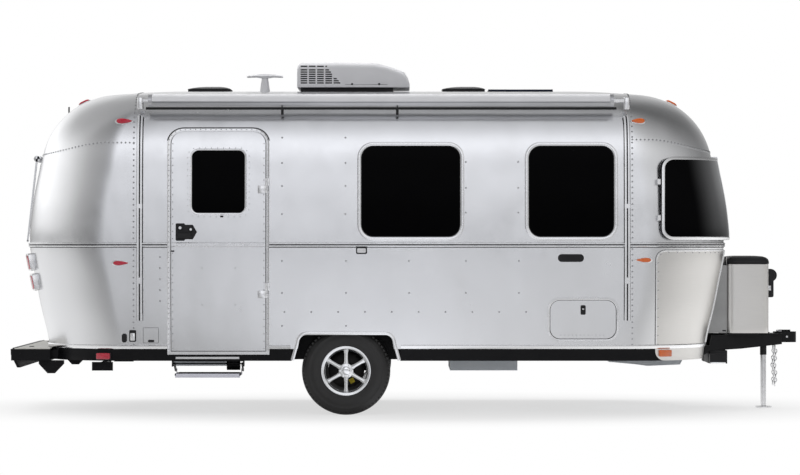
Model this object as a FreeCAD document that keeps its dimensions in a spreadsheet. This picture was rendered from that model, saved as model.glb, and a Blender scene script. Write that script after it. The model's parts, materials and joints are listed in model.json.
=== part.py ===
import FreeCAD, Part
import math
import os
import re
from types import SimpleNamespace
from FreeCAD import Placement, Rotation, Vector

# Single-axle riveted aluminium travel caravan. +X is forward (the coupler), +Y is the street side,
# +Z is up. The origin is on the ground under the middle of the bounding box. Millimetres.
doc = FreeCAD.newDocument("TravelCaravan")

# ------------------------------------------------------------------ driving dimensions
SIZES = (
    # body outline: belt line in plan, and heights of its edges and seams
    ("body_rear", -3240), ("body_front", 2664), ("half_width", 1219), ("corner_radius", 700),
    ("end_radius", 5000), ("skirt_bottom", 450), ("wall_bottom", 548), ("belt_height", 1402),
    ("roof_top", 2714), ("wall", 45), ("cap_seam_rear", -2264), ("cap_seam_front", 1799),
    ("roof_seam", 2510),
    # shoulder arc of the sides, larger arc of the ends, and the crown of the roof
    ("shoulder_base", 2228), ("shoulder_radius", 470), ("shoulder_tilt", 3.7), ("shoulder_inset", 29),
    ("end_arc_base", 2028), ("end_arc_radius", 640), ("end_arc_inset", 98), ("crown_end_inset", 690),
    # rails, skirt and floor
    ("belt_depth", 36), ("belt_proud", 12), ("rub_depth", 33), ("rub_proud", 14),
    ("skirt_skin", 5), ("deck", 25), ("fit", 0.3), ("door_gap", 5),
    # entrance door, on the right-hand (curb) side
    ("door_width", 772), ("door_front", -1196), ("door_bottom", 532), ("door_height", 1802),
    ("door_corner", 105), ("door_leaf", 40), ("frame_band", 32), ("frame_proud", 8),
    ("sill_bottom", 502), ("door_stile_rear", 163), ("door_stile_front", 162),
    ("door_pane_height", 526), ("door_head", 152), ("door_pane_corner", 60),
    ("hinge_proud", 18), ("hinge_pin", 8), ("hinge_low", 966), ("hinge_high", 1826), ("hinge_height", 120),
    ("handle_inset", 36), ("handle_width", 176),
    ("handle_bottom", 1433), ("handle_height", 147), ("handle_proud", 34),
    # windows of the two sides and of the two ends
    ("pane", 6), ("pane_set", 2), ("pane_corner", 105), ("trim_band", 26), ("trim_lip", 4),
    ("middle_pane_rear", -417), ("middle_pane_front", 407), ("front_pane_rear", 956),
    ("front_pane_front", 1667), ("pane_bottom", 1461), ("pane_top", 2220),
    ("end_pane_half", 520), ("end_pane_bottom", 1490), ("end_pane_top", 2075),
    ("wing_pane_rear", 2095), ("wing_pane_front", 2470), ("wing_pane_inner", 640),
    # storage hatch
    ("hatch_rear", 1139), ("hatch_front", 1676), ("hatch_bottom", 633), ("hatch_top", 946),
    ("hatch_corner", 80),
    # tinted guards over the front windows
    ("guard_offset", 46), ("guard_skin", 6), ("guard_rear", 2040), ("guard_bottom", 1443),
    ("guard_top", 2120), ("guard_corner", 95), ("guard_seam", 560), ("guard_gap", 8),
    # corner guards of stainless sheet on the lower front
    ("corner_guard_rear", 2003), ("corner_guard_top", 1359), ("corner_guard_inner", 480),
    ("corner_guard_skin", 3), ("corner_guard_round", 80),
    # wheels, axle and arches
    ("axle_x", -537), ("tyre_radius", 365), ("tyre_width", 225), ("tyre_inset", 79),
    ("rim_radius", 190.5), ("rim_lip", 14), ("hub_radius", 62), ("cap_radius", 42),
    ("spoke_width", 34), ("spoke_depth", 30), ("drum_radius", 145), ("drum_width", 70),
    ("spindle_radius", 20), ("axle_tube", 76), ("axle_tube_ahead", 160), ("arm_thickness", 30),
    ("arch_side", 61), ("arch_lean", 41), ("arch_top", 664), ("arch_corner", 65),
    ("arch_trim", 26), ("arch_trim_proud", 10), ("well_end", 90), ("well_travel", 70),
    ("well_clear", 43), ("well_skin", 8),
    # chassis
    ("rail_clear", 42), ("rail_width", 60), ("rail_front", 2350), ("rail_web", 6),
    ("tongue_top", 633), ("tongue_nose", 152), ("tongue_tip_half", 40), ("tongue_angle", 25),
    ("tongue_width", 50), ("coupler_reach", 130), ("coupler_half", 52), ("coupler_top", 655),
    ("coupler_bottom", 564), ("ball_socket_radius", 30), ("jack_set_back", 9), ("jack_tube_radius", 28.5),
    ("jack_leg_radius", 24), ("jack_leg_length", 640), ("jack_tube_bottom", 455), ("jack_head_bottom", 949),
    ("jack_head_top", 1196), ("jack_foot_radius", 73), ("jack_foot", 12), ("jack_plate", 8),
    ("battery_half", 330), ("battery_bottom", 392),
    # gas bottles and their cover
    ("cover_gap", 30), ("cover_end_gap", 53), ("cover_side_gap", 18), ("cover_bottom", 651),
    ("cover_top", 1238), ("cover_skin", 4), ("lid_height", 70), ("lid_lap", 5), ("notch_half", 66),
    ("notch_gap", 54), ("bottle_radius", 150), ("bottle_gap", 14), ("bottle_height", 440),
    # rear bumper with its trough and lid
    ("bumper_overhang", 80), ("bumper_half", 950), ("bumper_top", 538), ("bumper_floor", 443),
    ("bumper_lip_bottom", 385), ("trough_reach", 247), ("trough_skin", 5), ("lid_skin", 8),
    ("body_clearance", 28), ("skid_y", 900), ("skid_width", 40), ("skid_bottom", 335),
    # roof equipment
    ("roof_foot", 2690),
    ("cooler_rear", -968), ("cooler_front", -11), ("cooler_half", 345), ("cooler_top", 2954),
    ("cooler_foot", 2742), ("vent_half", 180), ("vent_rear_x", -1727), ("vent_front_x", 452),
    ("vent_base_top", 2732), ("vent_lid_top", 2762), ("lid_gap", 0.3), ("panel_rear", 660), ("panel_front", 1208),
    ("panel_half", 300), ("panel_top", 2724), ("antenna_x", -1257), ("antenna_plinth", 43),
    ("antenna_neck", 2836), ("antenna_span", 310), ("antenna_top", 2874),
    # awning
    ("awning_rear", -2159), ("awning_front", 1662), ("awning_radius", 52), ("awning_inset", 54),
    ("awning_z", 2587), ("awning_arm", 45), ("awning_arm_depth", 22), ("awning_arm_gap", 1),
    ("awning_arm_rear_x", -2225), ("awning_arm_front_x", 1768), ("awning_arm_bottom", 780),
    ("window_roller_radius", 27), ("window_roller_half", 400), ("window_roller_z", 2130),
    # step, tanks and stabilisers
    ("step_x", -1671), ("step_half", 270), ("step_inset", 79), ("step_pivot_z", 425),
    ("step_arm", 165), ("step_arm_stow", 22), ("step_arm_pitch", 60), ("step_arm_bar", 17),
    ("step_arm_thickness", 10), ("step_arm_gap", 4), ("step_overhang", 203), ("step_tread_depth", 36), ("step_pin", 4.5), ("step_cheek", 8),
    ("tank_middle_rear", 327), ("tank_middle_front", 890), ("tank_middle_bottom", 350),
    ("tank_rear_rear", -2000), ("tank_rear_front", -1500), ("tank_rear_bottom", 386),
    ("tank_front_rear", 1590), ("tank_front_front", 2310), ("tank_front_bottom", 376),
    ("leg_pivot_y", 520), ("leg_length", 400), ("leg_pivot_z", 410), ("leg_bar", 50),
    ("leg_depth", 32), ("leg_pin", 6), ("leg_foot", 174), ("leg_foot_depth", 72), ("leg_rear_x", -2562),
)

sheet = doc.addObject("Spreadsheet::Sheet", "Size")
for row, (alias, value) in enumerate(SIZES, start=1):
    sheet.set(f"A{row}", alias)
    sheet.set(f"B{row}", str(value))
    sheet.setAlias(f"B{row}", alias)
doc.recompute()
ALIASES = {alias for alias, value in SIZES}
S = SimpleNamespace(**{alias: float(sheet.get(alias)) for alias in ALIASES})

# places and sizes that follow from the ones above
PLACES = (
    ("bumper_tip", "body_rear - bumper_overhang"), ("trough_front", "body_rear + trough_reach"),
    ("cover_rear", "body_front + cover_gap"), ("bottle_y", "bottle_radius + bottle_gap"),
    ("cover_half", "bottle_y + bottle_radius + cover_side_gap"),
    ("cover_front", "cover_rear + 2 * bottle_radius + cover_end_gap"),
    ("jack_x", "cover_front - jack_set_back"), ("notch_rear", "jack_x - notch_gap"),
    ("tongue_tip", "jack_x + tongue_nose"), ("coupler_tip", "tongue_tip + coupler_reach"),
    ("tyre_outer_face", "half_width - tyre_inset"),
    ("well_inner", "tyre_outer_face - tyre_width - well_clear"),
    ("rail_y", "well_inner - rail_clear - rail_width / 2"),
    ("arch_half", "tyre_radius + arch_side"), ("arch_top_half", "arch_half - arch_lean"),
    ("well_half", "tyre_radius + well_end"), ("well_top", "2 * tyre_radius + well_travel"),
    ("door_rear", "door_front - door_width"), ("door_top", "door_bottom + door_height"),
    ("door_pane_rear", "door_rear + door_stile_rear"), ("door_pane_front", "door_front - door_stile_front"),
    ("door_pane_top", "door_top - door_head"), ("door_pane_bottom", "door_pane_top - door_pane_height"),
    ("handle_rear", "door_rear + handle_inset"), ("handle_front", "handle_rear + handle_width"),
    ("handle_top", "handle_bottom + handle_height"),
    ("step_pivot_y", "half_width - step_inset"), ("awning_y", "half_width - awning_inset"),
)
PLACE_NAMES = {name for name, rule in PLACES}
TINY = 1e-6
nodes = {}


# ------------------------------------------------------------------ building helpers
def cell(text):
    """An expression written with bare size names, as the document wants it."""
    def full(match):
        word = match[0]
        return "Size." + word if word in ALIASES else "Place." + word if word in PLACE_NAMES else word
    return re.sub(r"[a-z][a-z_]*", full, str(text))


place = doc.addObject("App::VarSet", "Place")
for name, rule in PLACES:
    place.addProperty("App::PropertyFloat", name, "Places")
    place.setExpression(name, cell(rule).replace("Place.", ""))
    doc.recompute()
    setattr(S, name, float(getattr(place, name)))


def bind(thing, **expressions):
    """Bind properties; a double underscore stands for a dot in the property's path."""
    for prop, text in expressions.items():
        thing.setExpression(prop.replace("__", "."), cell(text))
    return thing


def box(name, along, across, up):
    """A box between two expressions on each axis."""
    thing = doc.addObject("Part::Box", name)
    low, size = zip(*((lo, f"({hi}) - ({lo})") for lo, hi in (along, across, up)))
    return bind(thing, Placement__Base__x=low[0], Placement__Base__y=low[1], Placement__Base__z=low[2],
                Length=size[0], Width=size[1], Height=size[2])


TURNS = {"x": Rotation(Vector(0, 1, 0), 90), "y": Rotation(Vector(1, 0, 0), -90), "z": Rotation()}


def rod(name, axis, start, length, radius):
    """A cylinder from the point start, along an axis."""
    thing = doc.addObject("Part::Cylinder", name)
    thing.Placement = Placement(Vector(), TURNS[axis])
    return bind(thing, Placement__Base__x=start[0], Placement__Base__y=start[1],
                Placement__Base__z=start[2], Radius=radius, Height=length)


def feature(name, shape):
    thing = doc.addObject("Part::Feature", name)
    thing.Shape = shape
    return thing


def joined(name, *things):
    thing = doc.addObject("Part::MultiFuse", name)
    thing.Shapes = list(things)
    thing.Refine = False
    return thing


def without(name, base, *tools):
    """The base with every tool cut from it in turn."""
    for number, tool in enumerate(tools):
        cut = doc.addObject("Part::Cut", f"{name}_{number}")
        cut.Base, cut.Tool, cut.Refine = base, tool, False
        base = cut
    return base


def group(name, *things):
    thing = doc.addObject("Part::Compound", name)
    thing.Links = list(things)
    return thing


def node(label, thing):
    """Register a finished sub-part under the name of its file."""
    thing.Label = label
    nodes[label] = thing
    return thing


def profile(points, plane, start, length):
    """A straight-sided solid: a closed outline in the xz, yz or xy plane, pushed along the third axis."""
    place = {"xz": lambda a, b: Vector(a, start, b), "yz": lambda a, b: Vector(start, a, b),
             "xy": lambda a, b: Vector(a, b, start)}[plane]
    push = {"xz": Vector(0, length, 0), "yz": Vector(length, 0, 0), "xy": Vector(0, 0, length)}[plane]
    corners = [place(a, b) for a, b in points]
    return Part.Face(Part.makePolygon(corners + corners[:1])).extrude(push)


def rounded(low_a, high_a, low_b, high_b, radius, plane, start, length):
    """A rectangle with four round corners, pushed along the third axis."""
    solid = profile(((low_a, low_b), (high_a, low_b), (high_a, high_b), (low_a, high_b)),
                    plane, start, length)
    thin = {"xz": 1, "yz": 0, "xy": 2}[plane]
    posts = [edge for edge in solid.Edges
             if abs((edge.Vertexes[1].Point - edge.Vertexes[0].Point)[thin]) > TINY]
    return solid.makeFillet(radius, posts)


# ------------------------------------------------------------------ the double-curved body
# heights of the lower body with how far the sides and the ends stand inside the belt line
BODY_ROWS = (  # height, side inset, end inset
    (S.skirt_bottom, 27, 178), (650, 17, 150), (850, 10, 101), (1130, 3, 45), (1400, 0, 0),
    (1600, 3, 10), (1790, 8, 36), (2028, 17, 84), (2228, 29, 130),
)
SMOOTH_ANGLES = (17.5, 32, 45, 58, 72)     # degrees round the shoulder arc, smooth part
RULED_ANGLES = (72, 81, 90)                # and where the shoulder runs out into the roof
CROWN_SHARES = (0.6, 0.3, 0.04)            # of the crown's rise, down from the roof top


def shoulder_level(angle):
    """Height, side inset and end inset where the shoulder arc has turned by an angle."""
    turn, tilt = math.radians(angle), math.radians(S.shoulder_tilt)
    height = S.shoulder_base + S.shoulder_radius * (math.sin(turn) - math.sin(tilt))
    side = S.shoulder_inset + S.shoulder_radius * (math.cos(tilt) - math.cos(turn))
    fall = math.sqrt(max(S.end_arc_radius ** 2 - (height - S.end_arc_base) ** 2, 0))
    return height, side, S.end_arc_inset + S.end_arc_radius - fall


def crown_level(share):
    """A level of the roof's crown, a share of its rise below the top."""
    shoulder_top, side_top, end_top = shoulder_level(90)
    height = S.roof_top - (S.roof_top - shoulder_top) * share
    side = S.half_width - (S.half_width - side_top) * math.sqrt(share)
    return height, side, end_top + S.crown_end_inset * (1 - math.sqrt(share))


def outline(height, side_inset, end_inset):
    """The body cut level: two straight sides, four corner arcs and two bowed ends."""
    half = S.half_width - side_inset
    share = half / S.half_width
    corner, bow = S.corner_radius * share, S.end_radius * share
    offset = half - corner
    reach = math.sqrt((bow - corner) ** 2 - offset ** 2)
    lean = math.asin(offset / (bow - corner))
    edges = []
    turned = []
    for sign, tip in ((1, S.body_front - end_inset), (-1, S.body_rear + end_inset)):
        centre = tip - sign * (bow - reach)

        def corner_point(angle, side):
            return Vector(centre + sign * corner * math.cos(angle),
                          side * (offset + corner * math.sin(angle)), height)
        first, last = -sign, sign
        start, stop = corner_point(math.pi / 2, first), corner_point(math.pi / 2, last)
        near, far = corner_point(lean, first), corner_point(lean, last)
        middle = (math.pi / 2 + lean) / 2
        edges.append([Part.Arc(start, corner_point(middle, first), near),
                      Part.Arc(near, Vector(tip, 0, height), far),
                      Part.Arc(far, corner_point(middle, last), stop)])
        turned.append((start, stop))
    (front_right, front_left), (rear_left, rear_right) = turned
    ordered = [Part.LineSegment(rear_right, front_right), *edges[0],
               Part.LineSegment(front_left, rear_left), *edges[1]]
    return Part.Wire([edge.toShape() for edge in ordered])


def body_solid():
    """The whole outer body, smooth up the sides and ruled where it flattens into the roof."""
    smooth = list(BODY_ROWS) + [shoulder_level(angle) for angle in SMOOTH_ANGLES]
    ruled = [shoulder_level(angle) for angle in RULED_ANGLES] + [crown_level(s) for s in CROWN_SHARES]
    lower = Part.makeLoft([outline(*row) for row in smooth], True, False)
    upper = Part.makeLoft([outline(*row) for row in ruled], True, True)
    return lower.fuse(upper)


BODY = body_solid()
SKINS = {}


def skin(inset):
    """The body drawn in by an inset on every face, or swollen by a negative one."""
    if inset not in SKINS:
        middle = (S.body_front + S.body_rear) / 2
        length = S.body_front - S.body_rear
        matrix = FreeCAD.Matrix()
        matrix.A11 = (length - 2 * inset) / length
        matrix.A22 = (S.half_width - inset) / S.half_width
        matrix.A33 = (S.roof_top - inset) / S.roof_top
        matrix.A14 = middle * (1 - matrix.A11)
        SKINS[inset] = BODY.transformGeometry(matrix) if inset else BODY
    return SKINS[inset]


def layer(prism, outer, inner):
    """What a prism cuts from the layer between two insets of the body."""
    return prism.common(skin(outer)).cut(skin(inner))


REACH = S.half_width + 281              # prisms run this far from the centre plane, outside the body
FAR = S.body_front - S.body_rear        # and this far along it


def block(x0, x1, y0, y1, z0, z1):
    return Part.makeBox(x1 - x0, y1 - y0, z1 - z0, Vector(x0, y0, z0))


def side_prism(x0, x1, z0, z1, radius, side, grow=0.0, inner=600):
    """A round-cornered prism through the wall of one side: -1 is the right, 1 the left."""
    start = side * REACH
    return rounded(x0 - grow, x1 + grow, z0 - grow, z1 + grow, radius + grow, "xz",
                   start, -side * (REACH - inner))


def arch_prism(grow, side):
    """The wheel arch: sides that lean in to a flat top with round corners."""
    low = S.skirt_bottom - 60
    half, top_half = S.arch_half + grow, S.arch_top_half + grow
    solid = profile(((S.axle_x - half, low), (S.axle_x + half, low),
                     (S.axle_x + top_half, S.arch_top + grow), (S.axle_x - top_half, S.arch_top + grow)),
                    "xz", side * REACH, -side * (REACH - S.well_inner))
    posts = [edge for edge in solid.Edges if abs(edge.Vertexes[0].X - edge.Vertexes[1].X) < TINY
             and edge.Vertexes[0].Z > low + TINY and edge.Vertexes[1].Z > low + TINY]
    return solid.makeFillet(S.arch_corner + grow, posts)


# windows of each side: name, rear edge, front edge
SIDE_PANES = (("middle", S.middle_pane_rear, S.middle_pane_front),
              ("front", S.front_pane_rear, S.front_pane_front))
BOTH = (-1, 1)


def side_pane_prism(x0, x1, side, grow=0.0):
    return side_prism(x0, x1, S.pane_bottom, S.pane_top, S.pane_corner, side, grow)


def end_pane_prism(sign, grow=0.0):
    """The window in the middle of an end cap: 1 is the front."""
    start = S.body_front + 100 if sign > 0 else S.body_rear - 100
    return rounded(-S.end_pane_half - grow, S.end_pane_half + grow, S.end_pane_bottom - grow,
                   S.end_pane_top + grow, S.door_pane_corner + grow, "yz", start, -sign * 700)


def wing_pane_prism(side, grow=0.0):
    return side_prism(S.wing_pane_rear, S.wing_pane_front, S.end_pane_bottom, S.end_pane_top,
                      S.door_pane_corner, side, grow, inner=S.wing_pane_inner)


def door_prism(grow=0.0):
    """The door's outline: round corners above, square ones below."""
    foot = block(S.door_rear - grow, S.door_front + grow, -REACH, -600, S.door_bottom - grow, S.door_bottom + 200)
    return side_prism(S.door_rear, S.door_front, S.door_bottom, S.door_top, S.door_corner, -1, grow).fuse(foot)


def frame_prism(grow=0.0):
    """The door frame's outer edge, which runs lower than the door as a sill."""
    band = S.frame_band + grow
    return rounded(S.door_rear - band, S.door_front + band, S.sill_bottom - grow, S.door_top + band,
                   S.door_corner + band, "xz", -REACH, REACH - 600).fuse(
        block(S.door_rear - band, S.door_front + band, -REACH, -600, S.sill_bottom - grow, S.door_bottom + 200))


def door_pane_prism(grow=0.0):
    return side_prism(S.door_pane_rear, S.door_pane_front, S.door_pane_bottom, S.door_pane_top,
                      S.door_pane_corner, -1, grow)


def hatch_prism(grow=0.0):
    return side_prism(S.hatch_rear, S.hatch_front, S.hatch_bottom, S.hatch_top, S.hatch_corner, -1, grow)


# ------------------------------------------------------------------ walls, roof and end caps
def walls():
    hull = skin(0).cut(skin(S.wall))
    top = S.roof_top + 200
    for side, label in ((-1, "side_wall_right"), (1, "side_wall_left")):
        low, high = sorted((0, side * REACH))
        piece = hull.common(block(S.cap_seam_rear, S.cap_seam_front, low, high, S.wall_bottom, S.roof_seam))
        holes = [side_pane_prism(x0, x1, side) for name, x0, x1 in SIDE_PANES]
        holes.append(arch_prism(0, side))
        if side < 0:
            holes += [door_prism(S.door_gap), hatch_prism(S.door_gap)]
        for hole in holes:
            piece = piece.cut(hole)
        node(label, feature(label, piece))
    roof = hull.common(block(S.cap_seam_rear, S.cap_seam_front, -REACH, REACH, S.roof_seam, top))
    node("roof_panel", feature("roof_panel", roof))
    rear = hull.common(block(-FAR, S.cap_seam_rear, -REACH, REACH, S.wall_bottom, top))
    node("end_cap_rear", feature("end_cap_rear", rear.cut(end_pane_prism(-1))))
    front = hull.common(block(S.cap_seam_front, FAR, -REACH, REACH, S.wall_bottom, top))
    for hole in (end_pane_prism(1), wing_pane_prism(-1), wing_pane_prism(1)):
        front = front.cut(hole)
    node("end_cap_front", feature("end_cap_front", front))


def windows():
    """Flush panes of the body, and the trim bands round every opening."""
    frames, panes = [], []
    openings = [(side_pane_prism(x0, x1, side), side_pane_prism(x0, x1, side, -S.fit),
                 side_pane_prism(x0, x1, side, S.trim_band), side_pane_prism(x0, x1, side, -S.trim_lip))
                for side in BOTH for name, x0, x1 in SIDE_PANES]
    openings.append(tuple(end_pane_prism(-1, grow) for grow in (0, -S.fit, S.trim_band, -S.trim_lip)))
    for hole, fitted, band, lip in openings:
        panes.append(layer(fitted, S.pane_set, S.pane_set + S.pane))
        frames.append(layer(band.cut(lip), -S.frame_proud, -S.fit))
    for fitted in (end_pane_prism(1, -S.fit), wing_pane_prism(-1, -S.fit), wing_pane_prism(1, -S.fit)):
        panes.append(layer(fitted, S.pane_set, S.pane_set + S.pane))
    door = layer(frame_prism().cut(door_prism(S.door_gap)), -S.frame_proud, -S.fit)
    sill = block(S.door_rear - S.frame_band, S.door_front + S.frame_band, -REACH, 0,
                 S.sill_bottom, S.door_bottom - S.door_gap)
    frames.append(door.multiFuse([layer(sill, -S.frame_proud, S.skirt_skin), *door_hinge_leaves()]))
    frames.append(layer(hatch_prism(S.trim_band).cut(hatch_prism(S.door_gap)), -S.frame_proud, -S.fit))
    node("opening_frames", feature("opening_frames", Part.makeCompound(frames)))
    node("window_panes", feature("window_panes", Part.makeCompound(panes)))


# ------------------------------------------------------------------ rails, skirt and floor
def ring(low, high, outer, inner):
    return layer(block(-FAR, FAR, -REACH, REACH, low, high), outer, inner)


def rails():
    belt = ring(S.belt_height - S.belt_depth / 2, S.belt_height + S.belt_depth / 2, -S.belt_proud, -S.fit)
    belt = belt.cut(frame_prism(S.fit))
    rub = ring(S.wall_bottom, S.wall_bottom + S.rub_depth, -S.rub_proud, -S.fit)
    rub = rub.cut(frame_prism(S.fit))
    for side in BOTH:
        rub = rub.cut(arch_prism(S.arch_trim + S.fit, side))
    node("body_rails", feature("body_rails", Part.makeCompound([belt, rub])))
    trims = []
    for side in BOTH:
        trim = arch_prism(S.arch_trim, side).cut(arch_prism(0, side))
        low, high = sorted((side * (S.half_width - 60), side * REACH))
        trim = trim.common(block(-FAR, FAR, low, high, S.skirt_bottom, S.belt_height))
        trims.append(layer(trim, -S.arch_trim_proud, -S.fit))
    node("wheel_arch_trims", feature("wheel_arch_trims", Part.makeCompound(trims)))


def tongue_prism(grow, side):
    """Side view of one tongue beam: under the body, up past its front edge, then out to the coupler."""
    slope = math.tan(math.radians(S.tongue_angle))
    run = S.tongue_tip - S.rail_front
    clear = S.body_front - 136
    side_view = ((S.rail_front, S.skirt_bottom + S.skirt_skin), (clear - 60, S.skirt_bottom + S.skirt_skin),
                 (clear + 10, S.wall_bottom - 45), (S.body_front + 154, S.wall_bottom - 33),
                 (S.tongue_tip, S.wall_bottom), (S.tongue_tip, S.tongue_top),
                 (clear + 26, S.tongue_top), (clear + 12, S.wall_bottom), (S.rail_front, S.wall_bottom))
    raised = profile([(x, z + (grow if z > S.wall_bottom - 1 else -grow)) for x, z in side_view],
                     "xz", -REACH, 2 * REACH)
    half = S.tongue_width / 2 / math.cos(math.radians(S.tongue_angle)) + grow
    near = S.tongue_tip_half
    far = near + run * slope
    plan = profile(((S.tongue_tip, side * (near - half)), (S.tongue_tip, side * (near + half)),
                    (S.rail_front, side * (far + half)), (S.rail_front, side * (far - half))),
                   "xy", 0, S.roof_top)
    return raised.common(plan)


def floor():
    prism = block(-FAR, FAR, -REACH, REACH, S.wall_bottom, S.wall_bottom + S.deck)
    deck = prism.common(skin(S.wall + S.fit))
    pan_top = S.skirt_bottom + S.skirt_skin
    pan = block(-FAR, FAR, -REACH, REACH, S.skirt_bottom, pan_top).common(skin(0))
    skirt = ring(pan_top, S.wall_bottom, 0, S.skirt_skin).cut(frame_prism(S.fit))
    boxes = []
    for side in BOTH:
        low, high = sorted((side * S.well_inner, side * REACH))
        outer = block(S.axle_x - S.well_half, S.axle_x + S.well_half, low, high,
                      S.skirt_bottom + S.skirt_skin, S.well_top).common(skin(S.wall + S.fit))
        low, high = sorted((side * (S.well_inner + S.well_skin), side * REACH))
        inner = block(S.axle_x - S.well_half + S.well_skin, S.axle_x + S.well_half - S.well_skin, low, high,
                      0, S.well_top - S.well_skin)
        boxes.append(outer.cut(inner))
        deck = deck.cut(block(S.axle_x - S.well_half - S.fit, S.axle_x + S.well_half + S.fit,
                              *sorted((side * (S.well_inner - S.fit), side * REACH)), 0, S.roof_top))
        pan = pan.cut(inner).cut(arch_prism(0, side)).cut(tongue_prism(1, side))
        skirt = skirt.cut(inner).cut(arch_prism(0, side)).cut(tongue_prism(1, side))
        stub_low, stub_high = sorted((side * (S.rail_y - S.rail_width / 2 - 1),
                                      side * (S.rail_y + S.rail_width / 2 + 1)))
        skirt = skirt.cut(block(-FAR, S.cap_seam_rear - 300, stub_low, stub_high, pan_top, S.wall_bottom))
    node("floor_deck", feature("floor_deck", deck))
    node("belly_pan", feature("belly_pan", pan.cut(frame_prism(S.fit))))
    node("body_skirt", feature("body_skirt", skirt))
    node("wheel_boxes", feature("wheel_boxes", Part.makeCompound(boxes)))


# ------------------------------------------------------------------ chassis, axle, tanks
CROSS_X = ("rail_front - 30", "1500", "600", "axle_x + 520", "axle_x - 520", "-1900", "-2700")


def chassis():
    """Two channel rails, cross members butted between them, and the A-frame tongue with its plates."""
    low, high = "skirt_bottom + skirt_skin", "wall_bottom"
    stub_top = "bumper_top - 12"
    rails_made = []
    for centre, shift in (("rail_y", "-rail_web"), ("-rail_y", "rail_web")):
        near, far = f"{centre} - rail_width / 2", f"{centre} + rail_width / 2"
        rail = box("rail", ("trough_front + 40", "rail_front"), (near, far), (low, high))
        pocket = box("rail_pocket", ("trough_front + 60", "rail_front - 60"),
                     (f"{near} + {shift}", f"{far} + {shift}"), (f"{low} + rail_web", f"{high} - rail_web"))
        stub = box("rail_stub", ("bumper_tip + 34", "trough_front + 60"), (near, far), (low, stub_top))
        rails_made.append(joined("frame_rail", without("rail_channel", rail, pocket), stub))
    node("frame_rails", group("frame_rails", *rails_made))
    inner = "rail_y - rail_width / 2"
    node("cross_members", group("cross_members", *(
        box(f"cross_member_{number}", (f"{centre} - 30", f"{centre} + 30"), (f"-({inner})", inner), (low, high))
        for number, centre in enumerate(CROSS_X))))
    beams = [feature("tongue_beam", tongue_prism(0, side)) for side in BOTH]
    node("tongue_beams", group("tongue_beams", *beams))
    tray_front = "notch_rear - 14"
    jack_plate = box("jack_plate", (tray_front, "tongue_tip"), ("-130", "130"),
                     ("tongue_top", "tongue_top + jack_plate"))
    tray = box("bottle_tray", ("cover_rear - 4", tray_front), ("-cover_half + 10", "cover_half - 10"),
               ("tongue_top", "cover_bottom"))
    bore = rod("jack_bore", "z", ("jack_x", "0", "skirt_bottom"), "roof_top", "jack_tube_radius + fit")
    node("tongue_plates", without("tongue_plates_bored", joined("tongue_plates", jack_plate, tray), bore))


def axle():
    """Rubber-sprung axle: a square tube, two trailing arms, two spindles and the brake back plates."""
    tube_x = "axle_x + axle_tube_ahead"
    tube_top = "skirt_bottom - fit"
    arm_low = "well_inner - 40"
    arm_high = "well_inner - 40 + arm_thickness"
    tube = box("axle_tube", (f"{tube_x} - axle_tube / 2", f"{tube_x} + axle_tube / 2"),
               (f"-({arm_low})", arm_low), (f"{tube_top} - axle_tube", tube_top))
    pieces = [tube]
    for side in BOTH:
        low, high = sorted((side * (S.well_inner - 40), side * (S.well_inner - 40 + S.arm_thickness)))
        centre = S.skirt_bottom - S.fit - S.axle_tube / 2
        shape = ((S.axle_x - 55, S.tyre_radius - 40), (S.axle_x - 55, S.tyre_radius + 40),
                 (S.axle_x + S.axle_tube_ahead - 10, centre + 37),
                 (S.axle_x + S.axle_tube_ahead + 45, centre + 30),
                 (S.axle_x + S.axle_tube_ahead + 45, centre - 37), (S.axle_x + 20, S.tyre_radius - 48))
        pieces.append(feature("trailing_arm", profile(shape, "xz", low, high - low)))
        inner = side * (S.well_inner - 40 + S.arm_thickness / 2)
        outer = side * (S.tyre_outer_face - 52)
        pieces.append(rod("spindle", "y", ("axle_x", f"{min(inner, outer)}", "tyre_radius"),
                          f"{abs(outer - inner)}", "spindle_radius"))
        plate = side * (S.well_inner + S.well_skin + 12)
        pieces.append(rod("back_plate", "y", ("axle_x", f"{min(plate, plate + side * 8)}", "tyre_radius"),
                          "8", "drum_radius + 4"))
    node("axle_beam", joined("axle_beam", *pieces))


def tanks():
    """Pale holding tanks under the floor and the black pan of the front one."""
    top = "skirt_bottom - fit"
    middle = box("tank_middle", ("tank_middle_rear", "tank_middle_front"), ("-700", "200"),
                 ("tank_middle_bottom", top))
    rear = box("tank_rear", ("tank_rear_rear", "tank_rear_front"), ("-640", "300"), ("tank_rear_bottom", top))
    low, high = S.tank_front_bottom, S.skirt_bottom - S.fit
    start, stop = S.tank_front_rear, S.tank_front_front
    front = profile(((start, high), (start + 90, low + 34), (start + 310, low + 14), (start + 410, low),
                     (stop - 30, low + 12), (stop, high)), "xz", -420, 840)
    battery = box("battery_box", ("body_front - 122", "cover_rear - 4"), ("-battery_half", "battery_half"),
                  ("battery_bottom", "wall_bottom - 45 - fit"))
    node("holding_tanks", group("holding_tanks", middle, rear, feature("front_pan", front)))
    node("battery_box", battery)


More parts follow.
